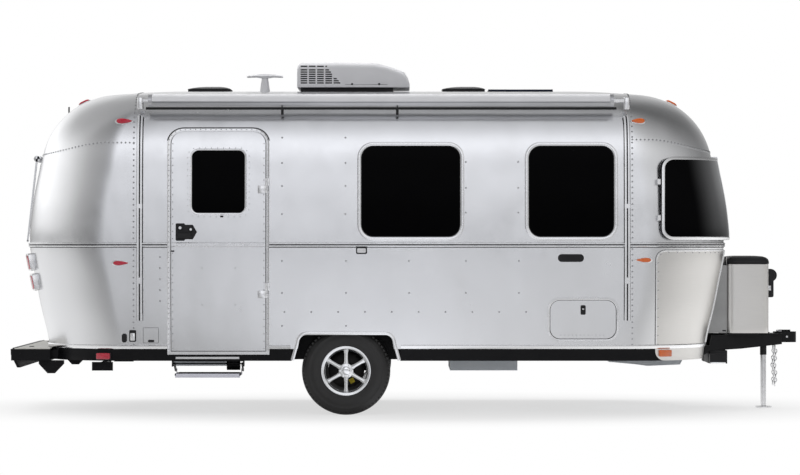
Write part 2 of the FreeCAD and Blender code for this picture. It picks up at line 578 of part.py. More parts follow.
# ------------------------------------------------------------------ wheels
def wheel(label, side):
    """Tyre, alloy wheel and brake drum of one side, made round the Y axis at the axle."""
    place = Placement(Vector(S.axle_x, side * S.tyre_outer_face, S.tyre_radius),
                      Rotation(Vector(0, 0, 1), 180 if side > 0 else 0))

    def turned(points):
        """Spin an outline of (radius, depth) pairs; depth runs inward from the outer face."""
        corners = [Vector(radius, depth, 0) for radius, depth in points]
        face = Part.Face(Part.makePolygon(corners + corners[:1]))
        return face.revolve(Vector(), Vector(0, 1, 0), 360)
    radius, width, rim, lip = S.tyre_radius, S.tyre_width, S.rim_radius, S.rim_lip
    shoulder = 26
    bead = lip + 2
    tyre = turned(((rim, 14), (rim + bead, 14), (rim + bead + 4, 9), (rim + 70, 0), (radius - 60, 3),
                   (radius - 14, shoulder), (radius, shoulder + 22), (radius, width - shoulder - 22),
                   (radius - 14, width - shoulder), (radius - 60, width - 3), (rim + 70, width),
                   (rim + bead + 4, width - 9), (rim + bead, width - 14), (rim, width - 14)))
    barrel = turned(((rim - 12, 12), (rim + lip, 12), (rim + lip, 13.7), (rim - S.fit, 13.7),
                     (rim - S.fit, width - 13.7), (rim + lip, width - 13.7), (rim + lip, width - 12),
                     (rim - 10, width - 12), (rim - 10, 60), (rim - 24, 40)))
    bore = S.spindle_radius + S.fit
    disc = turned(((bore, 49), (S.hub_radius, 34), (S.hub_radius + 22, 40), (S.hub_radius + 22, 72),
                   (bore, 72)))
    cap = turned(((0.5, 22), (S.cap_radius - 8, 24), (S.cap_radius, 34), (S.cap_radius, 50), (0.5, 50)))
    spokes = []
    for number in range(6):
        half = S.spoke_width / 2
        spoke = profile(((-half - 4, S.hub_radius - 10), (half + 4, S.hub_radius - 10),
                         (half, rim - 8), (-half, rim - 8)), "xz", 30, S.spoke_depth)
        spoke.rotate(Vector(), Vector(0, 1, 0), 90 + 60 * number)
        spokes.append(spoke)
    face = width - S.drum_width
    drum = turned(((bore, 71), (bore + 24, 71), (bore + 30, face), (S.drum_radius, face),
                   (S.drum_radius, width), (S.drum_radius - 12, width), (S.drum_radius - 12, face + 12), (bore + 22, face + 12),
                   (bore + 22, width - 8), (bore, width - 8)))
    alloy = barrel.multiFuse([disc, cap, drum, *spokes])
    for name, shape in (("tyre", tyre), ("wheel", alloy)):
        thing = feature(f"{name}_{label}", shape)
        thing.Placement = place
        node(f"{name}_{label}", thing)


# ------------------------------------------------------------------ doors, hatch and guards
def door():
    leaf = layer(door_prism(), 0, S.door_leaf).cut(door_pane_prism())
    strip = layer(block(S.door_rear + 4, S.door_front - 4, -REACH, 0, S.belt_height - S.belt_depth / 2,
                        S.belt_height + S.belt_depth / 2), -S.belt_proud, 1)
    trim = layer(door_pane_prism(S.trim_band).cut(door_pane_prism(-S.trim_lip)), -S.frame_proud, 0)
    pin_y = -(S.half_width + S.hinge_proud)
    knuckles = []
    for low in (S.hinge_low, S.hinge_high):
        wing = block(S.door_front - 62, S.door_front + 2, pin_y, -S.half_width + 30,
                     low, low + S.hinge_height / 2)
        barrel = Part.makeCylinder(S.hinge_pin, S.hinge_height / 2, Vector(S.door_front + 6, pin_y, low))
        knuckles.append(wing.cut(skin(1)).fuse(barrel))
    node("entrance_door", feature("entrance_door", leaf.multiFuse([strip, trim, *knuckles])))
    pane = layer(door_pane_prism(-S.fit), S.pane_set, S.pane_set + S.pane)
    node("door_window", feature("door_window", pane))
    plate = layer(block(S.handle_rear, S.handle_front, -REACH, 0, S.handle_bottom, S.handle_top), -9, -S.fit)
    grip = block(S.handle_rear + 12, S.handle_front - 40, -(S.half_width + S.handle_proud), -(S.half_width + 8),
                 S.handle_bottom + 18, S.handle_bottom + 70)
    node("door_handle", feature("door_handle", plate.fuse(grip.cut(skin(-1)))))


def door_hinge_leaves():
    """The fixed halves of the door's hinges, on the frame in front of the door."""
    pin_y = -(S.half_width + S.hinge_proud)
    halves = []
    for low in (S.hinge_low, S.hinge_high):
        base = low + S.hinge_height / 2 + S.fit
        wing = block(S.door_front + 12, S.door_front + 34, pin_y, -S.half_width + 30,
                     base, base + S.hinge_height / 2)
        barrel = Part.makeCylinder(S.hinge_pin, S.hinge_height / 2, Vector(S.door_front + 6, pin_y, base))
        halves.append(wing.cut(skin(-S.frame_proud + 1)).fuse(barrel))
    return halves


def hatch():
    leaf = layer(hatch_prism(), 0, S.door_leaf)
    heel = block(S.hatch_rear + S.hatch_corner, S.hatch_front - S.hatch_corner, -REACH, 0,
                 S.hatch_bottom - S.door_gap + S.fit, S.hatch_bottom + 2)
    leaf = leaf.fuse(layer(heel, 2, S.door_leaf))
    middle = (S.hatch_rear + S.hatch_front) / 2
    latch = layer(block(middle - 22, middle + 22, -REACH, 0, S.hatch_top - 118, S.hatch_top - 36), -12, 1)
    node("storage_hatch", feature("storage_hatch", leaf.fuse(latch)))


def guards():
    """Three tinted guards that stand off the front windows, and the brackets that carry them."""
    outer, inner = -S.guard_offset, -S.guard_offset + S.guard_skin
    lowest, highest = S.guard_bottom, S.guard_top
    hood = rounded(S.guard_rear, S.guard_rear + 2 * REACH, lowest, highest, S.guard_corner, "xz",
                   -REACH, 2 * REACH)
    for side, label in ((-1, "rock_guard_right"), (1, "rock_guard_left")):
        low, high = sorted((side * (S.guard_seam + S.guard_gap), side * REACH))
        wing = layer(hood.common(block(0, FAR, low, high, 0, FAR)), outer, inner)
        node(label, feature(label, wing))
    centre = layer(hood.common(block(0, FAR, -S.guard_seam, S.guard_seam, 0, FAR)), outer, inner)
    node("rock_guard_center", feature("rock_guard_center", centre))
    brackets = []
    for side in BOTH:
        for height in (1622, 1918):
            low, high = sorted((side * 900, side * REACH))
            lug = block(S.guard_rear - 24, S.guard_rear - S.fit, low, high, height - 22, height + 22)
            brackets.append(layer(lug, -S.guard_offset, -S.fit))
    header = block(0, FAR, -S.guard_seam, S.guard_seam, highest + S.fit, highest + 22)
    brackets.append(layer(header, -S.guard_offset, -S.fit).cut(block(-FAR, 1800, -REACH, REACH, 0, FAR)))
    node("guard_brackets", feature("guard_brackets", Part.makeCompound(brackets)))


def corner_guards():
    sheets = []
    for side in BOTH:
        prism = rounded(S.corner_guard_rear, S.corner_guard_rear + REACH, S.skirt_bottom, S.corner_guard_top,
                        S.corner_guard_round, "xz", side * REACH, -side * (REACH - S.corner_guard_inner))
        sheet = layer(prism, -S.corner_guard_skin, -S.fit)
        sheets.append(sheet.cut(ring(S.wall_bottom - S.fit, S.wall_bottom + S.rub_depth + S.fit,
                                     -S.rub_proud - 1, 0)))
    node("corner_guards", feature("corner_guards", Part.makeCompound(sheets)))


# ------------------------------------------------------------------ tongue: coupler, jack, gas bottles
def coupler():
    nose = box("coupler_nose", ("jack_x + 90", "coupler_tip - coupler_half"), ("-coupler_half", "coupler_half"),
               ("coupler_bottom", "coupler_top"))
    tip = rod("coupler_round", "z", ("coupler_tip - coupler_half", "0", "coupler_bottom"),
              "coupler_top - coupler_bottom", "coupler_half")
    latch = box("coupler_latch", ("jack_x + 130", "coupler_tip - 50"), ("-12", "12"),
                ("coupler_top - 1", "coupler_top + 16"))
    body = joined("coupler_body", nose, tip, latch)
    socket = rod("ball_socket", "z", ("coupler_tip - coupler_half - 6", "0", "coupler_bottom - 1"),
                 "46", "ball_socket_radius")
    beams = [feature("beam_space", tongue_prism(S.fit, side)) for side in BOTH]
    plate = box("plate_space", ("0", "tongue_tip + fit"), ("-200", "200"),
                ("tongue_top - fit", "tongue_top + jack_plate + fit"))
    node("coupler", without("coupler_cut", body, socket, *beams, plate))


def jack():
    plate_top = "tongue_top + jack_plate"
    tube = rod("jack_tube", "z", ("jack_x", "0", "jack_tube_bottom"),
               "jack_head_bottom - jack_tube_bottom + 10", "jack_tube_radius")
    flange = rod("jack_flange", "z", ("jack_x", "0", f"{plate_top} + fit"), "10", "jack_tube_radius + 26")
    head = box("jack_head", ("jack_x - 40", "jack_x + 88"), ("-56", "56"),
               ("jack_head_bottom", "jack_head_top"))
    motor = box("jack_motor", ("jack_x + 80", "jack_x + 114"), ("-44", "44"),
                ("jack_head_top - 118", "jack_head_top - 6"))
    case = joined("jack_case", tube, flange, head, motor)
    bore = rod("jack_tube_bore", "z", ("jack_x", "0", "jack_tube_bottom - 1"),
               "jack_head_bottom - jack_tube_bottom - 20", "jack_leg_radius + fit")
    node("tongue_jack", without("tongue_jack_cut", case, bore))
    leg = rod("jack_leg_tube", "z", ("jack_x", "0", "jack_foot / 2"), "jack_leg_length", "jack_leg_radius")
    foot = rod("jack_foot_plate", "z", ("jack_x", "0", "0"), "jack_foot", "jack_foot_radius")
    node("jack_leg", joined("jack_leg", leg, foot))


def gas():
    notch = box("cover_notch", ("notch_rear", "cover_front + 50"), ("-notch_half", "notch_half"),
                ("cover_bottom - 50", "cover_top + 200"))
    outside = feature("cover_outside", rounded(S.cover_rear, S.cover_front, -S.cover_half, S.cover_half, 55,
                                               "xy", S.cover_bottom, S.cover_top - S.cover_bottom))
    skin_inside = rounded(S.cover_rear + S.cover_skin, S.cover_front - S.cover_skin,
                          -S.cover_half + S.cover_skin, S.cover_half - S.cover_skin, 51, "xy",
                          S.cover_bottom - 1, FAR)
    wall_inside = skin_inside.cut(block(S.notch_rear - S.cover_skin, FAR, -S.notch_half - S.cover_skin,
                                        S.notch_half + S.cover_skin, 0, FAR))
    hinge = box("lid_hinge_plate", ("cover_rear - 6", "cover_rear - 1"),
                ("-cover_half + 60", "cover_half - 60"), ("cover_top - 60", "cover_top + lid_height - 8"))
    strap = box("lid_hinge_foot", ("cover_rear - 2", "cover_rear + 1"),
                ("-cover_half + 60", "cover_half - 60"), ("cover_top - 60", "cover_top - 20"))
    shell = without("cover_shell", outside, notch, feature("cover_inside", wall_inside))
    node("gas_cover", joined("gas_cover", shell, hinge, strap))
    lid_out = feature("lid_outside", rounded(S.cover_rear, S.cover_front + S.lid_lap,
                                             -S.cover_half - S.lid_lap, S.cover_half + S.lid_lap, 60, "xy",
                                             S.cover_top + S.fit, S.lid_height))
    lid_in = block(S.cover_rear - 20, S.cover_front + S.lid_lap - S.cover_skin, -S.cover_half, S.cover_half,
                   S.cover_top - 10, S.cover_top + S.lid_height - S.cover_skin)
    lid_in = lid_in.cut(block(S.notch_rear - 2 * S.cover_skin, FAR, -S.notch_half - 2 * S.cover_skin,
                              S.notch_half + 2 * S.cover_skin, 0, FAR))
    lid_notch = box("lid_notch", ("notch_rear - 4", "cover_front + 50"), ("-notch_half - 4", "notch_half + 4"),
                    ("cover_bottom - 50", "cover_top + 200"))
    node("gas_cover_lid", without("gas_cover_lid", lid_out, feature("lid_inside", lid_in), lid_notch))
    bottles = []
    for side in BOTH:
        centre = Vector(S.cover_rear + S.cover_skin + S.bottle_radius + 6, side * S.bottle_y, S.cover_bottom)
        can = Part.makeCylinder(S.bottle_radius, S.bottle_height, centre)
        rims = [edge for edge in can.Edges if edge.Curve.TypeId == "Part::GeomCircle"]
        valve = Part.makeCylinder(22, 60, centre + Vector(0, 0, S.bottle_height - 1))
        bottles.append(can.makeFillet(60, rims[:1]).fuse(valve))
    node("gas_bottles", feature("gas_bottles", Part.makeCompound(bottles)))


def chains():
    """Two safety chains that hang in a loop from the tongue, each a run of oval links."""
    chains_made = []
    for side in BOTH:
        x, y = S.jack_x + 92, side * 62
        top = S.wall_bottom - 6 - 24 - S.fit
        links = []
        for number in range(11):
            centre = Vector(x + 5 * math.sin(number), y, top - 31 * number)
            ring_shape = Part.makeTorus(13, 3.4, Vector(), Vector(0, 1, 0) if number % 2 else Vector(1, 0, 0))
            stretch = FreeCAD.Matrix()
            stretch.A33 = 1.35
            stretch.A14, stretch.A24, stretch.A34 = centre
            links.append(ring_shape.transformGeometry(stretch))
        shackle = Part.makeCylinder(6, 20, Vector(x, y, top + 4))
        chains_made.append(links[0].multiFuse(links[1:] + [shackle]))
    node("safety_chains", feature("safety_chains", Part.makeCompound(chains_made)))


# ------------------------------------------------------------------ rear bumper
def bumper():
    rear_wall = profile(((S.bumper_tip, S.bumper_top), (S.bumper_tip + 2, S.bumper_top - 48),
                         (S.bumper_tip + 54, S.bumper_lip_bottom), (S.bumper_tip + 80, S.bumper_lip_bottom),
                         (S.bumper_tip + 32, S.bumper_floor + 30), (S.bumper_tip + 30, S.bumper_top)),
                        "xz", -S.bumper_half, 2 * S.bumper_half)
    trough = block(S.bumper_tip + 4, S.trough_front, -S.bumper_half, S.bumper_half,
                   S.bumper_floor, S.bumper_top)
    hollow = block(S.bumper_tip + 4, S.trough_front + 1, -S.bumper_half + S.trough_skin,
                   S.bumper_half - S.trough_skin, S.bumper_floor + S.trough_skin, S.bumper_top + 1)
    body_space = skin(-S.body_clearance)
    trough = trough.cut(hollow).cut(body_space)
    skids = []
    for side in BOTH:
        low, high = sorted((side * S.skid_y, side * (S.skid_y - S.skid_width)))
        rear, front, side_top = S.bumper_tip + 227, S.bumper_tip + 435, S.bumper_floor - 30
        skids.append(profile(((rear, S.bumper_floor), (front, S.bumper_floor), (front, side_top),
                              (front - 75, S.skid_bottom), (rear + 73, S.skid_bottom), (rear, side_top)),
                             "xz", low, high - low))
    stubs = []
    for side in BOTH:
        half = S.rail_width / 2 + S.fit
        low, high = sorted((side * (S.rail_y - half), side * (S.rail_y + half)))
        stubs.append(block(S.bumper_tip + 34 - S.fit, FAR, low, high, S.skirt_bottom + S.skirt_skin - S.fit,
                           S.bumper_top - 12 + S.fit))
    hinge = block(S.bumper_tip + 8, S.bumper_tip + 32 - S.fit, -S.bumper_half + 60, S.bumper_half - 60,
                  S.bumper_top - 4, S.bumper_top + S.lid_skin)
    whole = rear_wall.multiFuse([trough, hinge, *skids])
    for stub in stubs:
        whole = whole.cut(stub)
    node("rear_bumper", feature("rear_bumper", whole))
    lid = block(S.bumper_tip + 32, S.trough_front, -S.bumper_half, S.bumper_half,
                S.bumper_top + S.fit, S.bumper_top + S.fit + S.lid_skin)
    node("bumper_lid", feature("bumper_lid", lid.cut(body_space)))


# ------------------------------------------------------------------ roof equipment
def roof_gear():
    foot = S.roof_foot
    body_cut = skin(-S.fit)
    base = block(S.cooler_rear + 30, S.cooler_front - 140, -S.cooler_half + 60, S.cooler_half - 60,
                 foot, S.cooler_foot)
    shroud = profile(((S.cooler_rear, S.cooler_foot), (S.cooler_rear + 14, S.cooler_top - 8),
                      (S.cooler_rear + 24, S.cooler_top), (S.cooler_front - 280, S.cooler_top),
                      (S.cooler_front - 40, S.cooler_top - 88), (S.cooler_front, S.cooler_foot + 10),
                      (S.cooler_front - 10, S.cooler_foot)), "xz", -S.cooler_half, 2 * S.cooler_half)
    long_edges = [e for e in shroud.Edges if abs(e.Vertexes[0].Y - e.Vertexes[1].Y) < TINY
                  and abs(e.Vertexes[0].X - e.Vertexes[1].X) > 100 and e.Vertexes[0].Z > S.cooler_foot + 1]
    shroud = shroud.makeFillet(40, long_edges)
    node("air_conditioner_cover", feature("air_conditioner_cover", shroud))
    frames, lids = [base.cut(body_cut)], []
    for centre in (S.vent_rear_x, S.vent_front_x):
        half = S.vent_half
        frame = block(centre - half, centre + half, -half, half, foot, S.vent_base_top)
        frames.append(frame.cut(body_cut))
        low, high = S.vent_base_top + S.lid_gap, S.vent_lid_top
        lids.append(profile(((centre - half - 6, low), (centre - half, S.vent_base_top + 8),
                             (centre + 20, high), (centre + 80, high), (centre + half, S.vent_base_top + 12),
                             (centre + half + 6, low)), "xz", -half - 6, 2 * half + 12))
    for label, shape in zip(("vent_lid_rear", "vent_lid_front"), lids):
        node(label, feature(label, shape))
    panel = block(S.panel_rear, S.panel_front, -S.panel_half, S.panel_half, foot, S.panel_top)
    node("solar_panel", feature("solar_panel", panel.cut(body_cut)))
    plinth = Part.makeCone(S.antenna_plinth + 6, S.antenna_plinth - 16, S.antenna_neck - foot,
                           Vector(S.antenna_x, 0, foot))
    node("roof_bases", feature("roof_bases", Part.makeCompound(frames + [plinth.cut(body_cut)])))
    span, neck = S.antenna_span / 2, S.antenna_neck + S.lid_gap
    wing = profile(((S.antenna_x - 40, neck), (S.antenna_x + 40, neck), (S.antenna_x + 60, neck + 12),
                    (S.antenna_x + span, neck + 14), (S.antenna_x + span, neck + 22),
                    (S.antenna_x, S.antenna_top),
                    (S.antenna_x - span, neck + 22), (S.antenna_x - span, neck + 14),
                    (S.antenna_x - 60, neck + 12)), "xz", -38, 76)
    node("antenna_head", feature("antenna_head", wing))


# ------------------------------------------------------------------ awnings
WINDOW_ROLLER_LIFT = 18     # end inset that the body gains from the row below to the roller's height


def awning():
    roller = rod("awning_roller", "x", ("awning_rear", "-awning_y", "awning_z"), "awning_front - awning_rear",
                 "awning_radius")
    window_roller, window_arms = window_awning()
    node("awning_rollers", group("awning_rollers", roller, feature("window_roller", window_roller)))
    arms = []
    for centre, pin_start, pin_end in ((S.awning_arm_rear_x, S.awning_arm_rear_x, S.awning_rear - S.fit),
                                       (S.awning_arm_front_x, S.awning_front + S.fit, S.awning_arm_front_x)):
        half = S.awning_arm / 2
        inner = S.belt_proud + S.awning_arm_gap
        strip = layer(block(centre - half, centre + half, -REACH, 0, S.awning_arm_bottom, S.awning_z + 20),
                      -inner - S.awning_arm_depth, -inner)
        foot = layer(block(centre - half, centre + half, -REACH, 0, S.awning_arm_bottom,
                           S.awning_arm_bottom + 60), -inner - 2, -S.fit)
        head = block(centre - half, centre + half, -S.awning_y - 30, -S.awning_y + 190,
                     S.awning_z - 30, S.awning_z + 30)
        pin = Part.makeCylinder(18, pin_end - pin_start, Vector(pin_start, -S.awning_y, S.awning_z),
                                Vector(1, 0, 0))
        arms.append(strip.multiFuse([foot, head.cut(skin(-S.fit)), pin]))
    node("awning_arms", feature("awning_arms", Part.makeCompound(arms + window_arms)))


def window_awning():
    """A short roller above the rear window, on two thin arms that run down to the belt."""
    tip = S.body_rear + BODY_ROWS[-2][2] + WINDOW_ROLLER_LIFT
    axis_x = tip - S.window_roller_radius - 5
    half, z = S.window_roller_half, S.window_roller_z
    roller = Part.makeCylinder(S.window_roller_radius, 2 * half, Vector(axis_x, -half, z), Vector(0, 1, 0))
    arms = []
    for side in BOTH:
        low, high = sorted((side * (half + 0.2), side * (half + 14)))
        foot_x = S.body_rear - S.belt_proud - 4
        bar = profile(((axis_x - 8, z), (axis_x + 8, z), (foot_x + 14, S.belt_height + 34),
                       (foot_x, S.belt_height + 34)), "xz", low, high - low)
        cap = Part.makeCylinder(S.window_roller_radius, high - low, Vector(axis_x, low, z), Vector(0, 1, 0))
        foot = block(foot_x, S.body_rear + 200, low, high, S.belt_height + 22, S.belt_height + 44)
        bracket = block(axis_x, axis_x + 200, low, high, z - 4, z + 24)
        arms.append(bar.multiFuse([cap, foot, bracket]).cut(skin(-S.fit)))
    return roller.cut(skin(-S.fit)), arms


# ------------------------------------------------------------------ lamps and small fittings
# side lamps: colour, rear x, front x, bottom, top; the same on both sides
SIDE_LAMPS = (("red", -2435, -2284, 2382, 2448), ("red", -2455, -2304, 1220, 1285),
              ("red", -2591, -2460, 458, 520), ("amber", 1797, 1929, 2385, 2448),
              ("amber", 1829, 1975, 1244, 1310), ("amber", 2032, 2135, 483, 540))
# rear lamps: half-width where they start and end, bottom, top
TAIL_LAMPS = ((650, 760, 1025, 1166), (650, 760, 1191, 1333))
CLEARANCE_Y = (-420, 0, 420)


def lamps():
    shapes = {"red": [], "amber": []}
    for side in BOTH:
        for colour, x0, x1, z0, z1 in SIDE_LAMPS:
            low, high = sorted((side * 600, side * REACH))
            base = -S.corner_guard_skin - S.fit if x0 > S.corner_guard_rear and z0 < S.wall_bottom else -S.fit
            shapes[colour].append(layer(block(x0, x1, low, high, z0, z1), base - 20, base))
        for y0, y1, z0, z1 in TAIL_LAMPS:
            low, high = sorted((side * y0, side * y1))
            shapes["red"].append(layer(block(-FAR, -2800, low, high, z0, z1), -48, -S.fit))
    for y in CLEARANCE_Y:
        rear, front = S.body_rear + 423, S.body_front - 514
        shapes["red"].append(layer(block(rear, rear + 104, y - 40, y + 40, 2400, FAR), -22, -S.fit))
        shapes["amber"].append(layer(block(front, front + 104, y - 40, y + 40, 2400, FAR), -22, -S.fit))
    node("red_lamps", feature("red_lamps", Part.makeCompound(shapes["red"])))
    node("amber_lamps", feature("amber_lamps", Part.makeCompound(shapes["amber"])))


# fittings of the right side: rear x, front x, bottom, top, how far they stand out
FITTINGS = ((-453, -363, 1326, 1384, 24), (1201, 1414, 1261, 1326, 5), (-2374, -2330, 600, 676, 12),
            (-2313, -2255, 606, 704, 14), (-2160, -2106, 602, 624, 8))


def fittings():
    pieces = [layer(block(x0, x1, -REACH, -900, z0, z1), -proud, -S.fit) for x0, x1, z0, z1, proud in FITTINGS]
    whip = Part.makeCylinder(7, 150, Vector(S.body_rear + 294, 0, 2440)).cut(skin(-S.fit))
    node("utility_fittings", feature("utility_fittings", Part.makeCompound(pieces + [whip])))


# ------------------------------------------------------------------ entry step
def step():
    """A parallelogram step: two front arms, two rear arms and the tread, under a fixed bracket."""
    stow = math.radians(S.step_arm_stow)
    pivot = Vector(0, -S.step_pivot_y, S.step_pivot_z)
    rear_pivot = pivot + Vector(0, S.step_arm_pitch, 0)
    swing = Vector(0, S.step_arm * math.cos(stow), -S.step_arm * math.sin(stow))
    bar = S.step_arm_bar / 2
    thick, gap = S.step_arm_thickness, S.step_arm_gap
    sides = (S.step_x - S.step_half, S.step_x + S.step_half)

    def arm(start, x):
        """A flat bar with round eyes, from a frame pivot to a tread pivot, bored at the tread end."""
        direction = swing / swing.Length
        across = Vector(0, -direction.z, direction.y) * bar
        stop = start + swing
        corners = [point + Vector(x, 0, 0)
                   for point in (start + across, stop + across, stop - across, start - across)]
        plank = Part.Face(Part.makePolygon(corners + corners[:1])).extrude(Vector(thick, 0, 0))
        eyes = [Part.makeCylinder(bar, thick, point + Vector(x, 0, 0), Vector(1, 0, 0))
                for point in (start, stop)]
        bore = Part.makeCylinder(S.step_pin + S.fit, thick, stop + Vector(x, 0, 0), Vector(1, 0, 0))
        return plank.multiFuse(eyes).cut(bore)
    reach = thick + gap + S.step_cheek + 4
    for label, start in (("step_arms_front", pivot), ("step_arms_rear", rear_pivot)):
        bars = [arm(start, sides[0] - thick - gap), arm(start, sides[1] + gap)]
        shaft = Part.makeCylinder(S.step_pin, sides[1] - sides[0] + 2 * reach,
                                  Vector(sides[0] - reach, start.y, start.z), Vector(1, 0, 0))
        node(label, feature(label, bars[0].multiFuse([bars[1], shaft])))
    low = pivot + swing
    front_edge, rear_edge = low.y - S.step_overhang, low.y + S.step_arm_pitch + 16
    tread = block(sides[0], sides[1], front_edge, rear_edge, low.z - S.step_tread_depth, low.z - 16)
    lugs = [block(x, x + 4, low.y - 20, low.y + 20, low.z - 20, low.z + 16) for x in (sides[0], sides[1] - 4)]
    pins = [Part.makeCylinder(S.step_pin, thick + gap, Vector(x, low.y, low.z), Vector(1, 0, 0))
            for x in (sides[0] - thick - gap, sides[1])]
    node("step_tread", feature("step_tread", tread.multiFuse(lugs + pins)))
    top = S.skirt_bottom - S.fit
    outer = thick + 2 * gap
    plate = block(sides[0] - outer - S.step_cheek, sides[1] + outer + S.step_cheek,
                  pivot.y - 30, rear_pivot.y + 60, top - 5, top)
    cheeks = [block(x, x + S.step_cheek, pivot.y - 24, rear_pivot.y + 40, S.step_pivot_z - 24, top)
              for x in (sides[0] - outer - S.step_cheek, sides[1] + outer)]
    bracket = plate.multiFuse(cheeks)
    for start in (pivot, rear_pivot):
        bore = Part.makeCylinder(S.step_pin + S.fit, 2 * S.step_half + 4 * reach,
                                 Vector(sides[0] - 2 * reach, start.y, start.z), Vector(1, 0, 0))
        bracket = bracket.cut(bore)
    motor = Part.makeCylinder(40, 110, Vector(sides[1] - 125, rear_pivot.y + 118, S.step_pivot_z - 20),
                              Vector(1, 0, 0))
    hanger = block(sides[1] - 110, sides[1] - 40, rear_pivot.y + 40, rear_pivot.y + 130,
                   S.step_pivot_z - 10, top)
    bar_light = layer(block(S.step_x - 260, S.step_x + 260, -REACH, 0, 466, 483), -12, -S.fit)
    whole = Part.makeCompound([bracket.multiFuse([hanger, motor]), bar_light])
    node("step_bracket", feature("step_bracket", whole))


# ------------------------------------------------------------------ stabiliser legs
def stabilisers():
    """Two fold-down legs at the rear, stowed level under the pan, and the forks that carry them."""
    hangers = []
    x, half, eye_radius = S.leg_rear_x, S.leg_bar / 2, S.leg_depth / 2
    top = S.skirt_bottom - S.fit
    for side, name in ((-1, "right"), (1, "left")):
        pivot_y = side * S.leg_pivot_y
        pivot = Vector(x - half, pivot_y, S.leg_pivot_z)
        end_y = side * (S.leg_pivot_y + S.leg_length)
        low, high = sorted((pivot_y, end_y))
        bar = block(x - half, x + half, low, high, S.leg_pivot_z - eye_radius, S.leg_pivot_z + eye_radius)
        eye = Part.makeCylinder(eye_radius, S.leg_bar, pivot, Vector(1, 0, 0))
        low, high = sorted((end_y, end_y - side * 8))
        foot = block(x - S.leg_foot / 2, x + S.leg_foot / 2, low, high,
                     S.leg_pivot_z + 20 - S.leg_foot_depth, S.leg_pivot_z + 20)
        bore = Part.makeCylinder(S.leg_pin + S.fit, S.leg_bar, pivot, Vector(1, 0, 0))
        label = f"stabiliser_{name}"
        node(label, feature(label, bar.multiFuse([eye, foot]).cut(bore)))
        cheeks = [block(edge, edge + 6, pivot_y - 26, pivot_y + 26, S.leg_pivot_z - 20, top)
                  for edge in (x - half - 7, x + half + 1)]
        plate = block(x - half - 7, x + half + 7, pivot_y - 26, pivot_y + 26, top - 6, top)
        pin = Part.makeCylinder(S.leg_pin, S.leg_bar + 14, pivot - Vector(7, 0, 0), Vector(1, 0, 0))
        hangers.append(plate.multiFuse(cheeks + [pin]))
    node("stabiliser_hangers", feature("stabiliser_hangers", Part.makeCompound(hangers)))


for build in (walls, windows, rails, floor, chassis, axle, tanks, door, hatch, guards,
              corner_guards, coupler, jack, gas, chains, bumper, roof_gear, awning, lamps, fittings, step,
              stabilisers):
    build()
wheel("right", -1)
wheel("left", 1)

# ------------------------------------------------------------------ check and write
doc.recompute()
broken = [thing.Label for thing in doc.Objects if {"Invalid", "Error"} & set(thing.State)]
if broken:
    raise RuntimeError("failed objects: " + ", ".join(broken))
for label, thing in nodes.items():
    if thing.Shape.isNull() or not thing.Shape.isValid() or not thing.Shape.Solids:
        raise RuntimeError("bad shape: " + label)
os.makedirs("parts", exist_ok=True)
for label, thing in nodes.items():
    thing.Shape.exportStep(f"parts/{label}.step")
    print(f"{label}: {len(thing.Shape.Solids)} solids, {thing.Shape.Volume / 1e6:.2f} litres")
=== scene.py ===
import json
import math

import bmesh
import bpy
import numpy as np
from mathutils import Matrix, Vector

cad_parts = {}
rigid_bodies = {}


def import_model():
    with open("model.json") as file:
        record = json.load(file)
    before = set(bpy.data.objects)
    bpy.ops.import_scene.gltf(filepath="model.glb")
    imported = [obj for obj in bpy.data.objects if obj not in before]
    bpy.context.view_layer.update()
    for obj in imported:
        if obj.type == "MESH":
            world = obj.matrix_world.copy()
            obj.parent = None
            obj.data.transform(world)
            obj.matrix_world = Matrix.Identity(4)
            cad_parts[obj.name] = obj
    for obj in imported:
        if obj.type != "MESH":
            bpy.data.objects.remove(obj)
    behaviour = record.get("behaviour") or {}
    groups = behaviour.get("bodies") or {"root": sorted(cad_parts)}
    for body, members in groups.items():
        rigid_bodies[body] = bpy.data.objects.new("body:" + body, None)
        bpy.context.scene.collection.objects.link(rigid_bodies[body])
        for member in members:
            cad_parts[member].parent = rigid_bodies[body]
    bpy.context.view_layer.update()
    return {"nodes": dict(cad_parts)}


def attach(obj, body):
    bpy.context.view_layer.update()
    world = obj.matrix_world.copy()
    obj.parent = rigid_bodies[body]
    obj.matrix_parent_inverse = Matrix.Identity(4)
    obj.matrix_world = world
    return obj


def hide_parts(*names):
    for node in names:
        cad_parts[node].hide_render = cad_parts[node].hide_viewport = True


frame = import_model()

# ---------------------------------------------------------------- studio: floor, walls of light, camera
# The caravan stands on a plain white studio floor that runs out of sight, under broad soft lamps hung
# over and beside it. The floor is matt paint and keeps the soft shadow under the body.


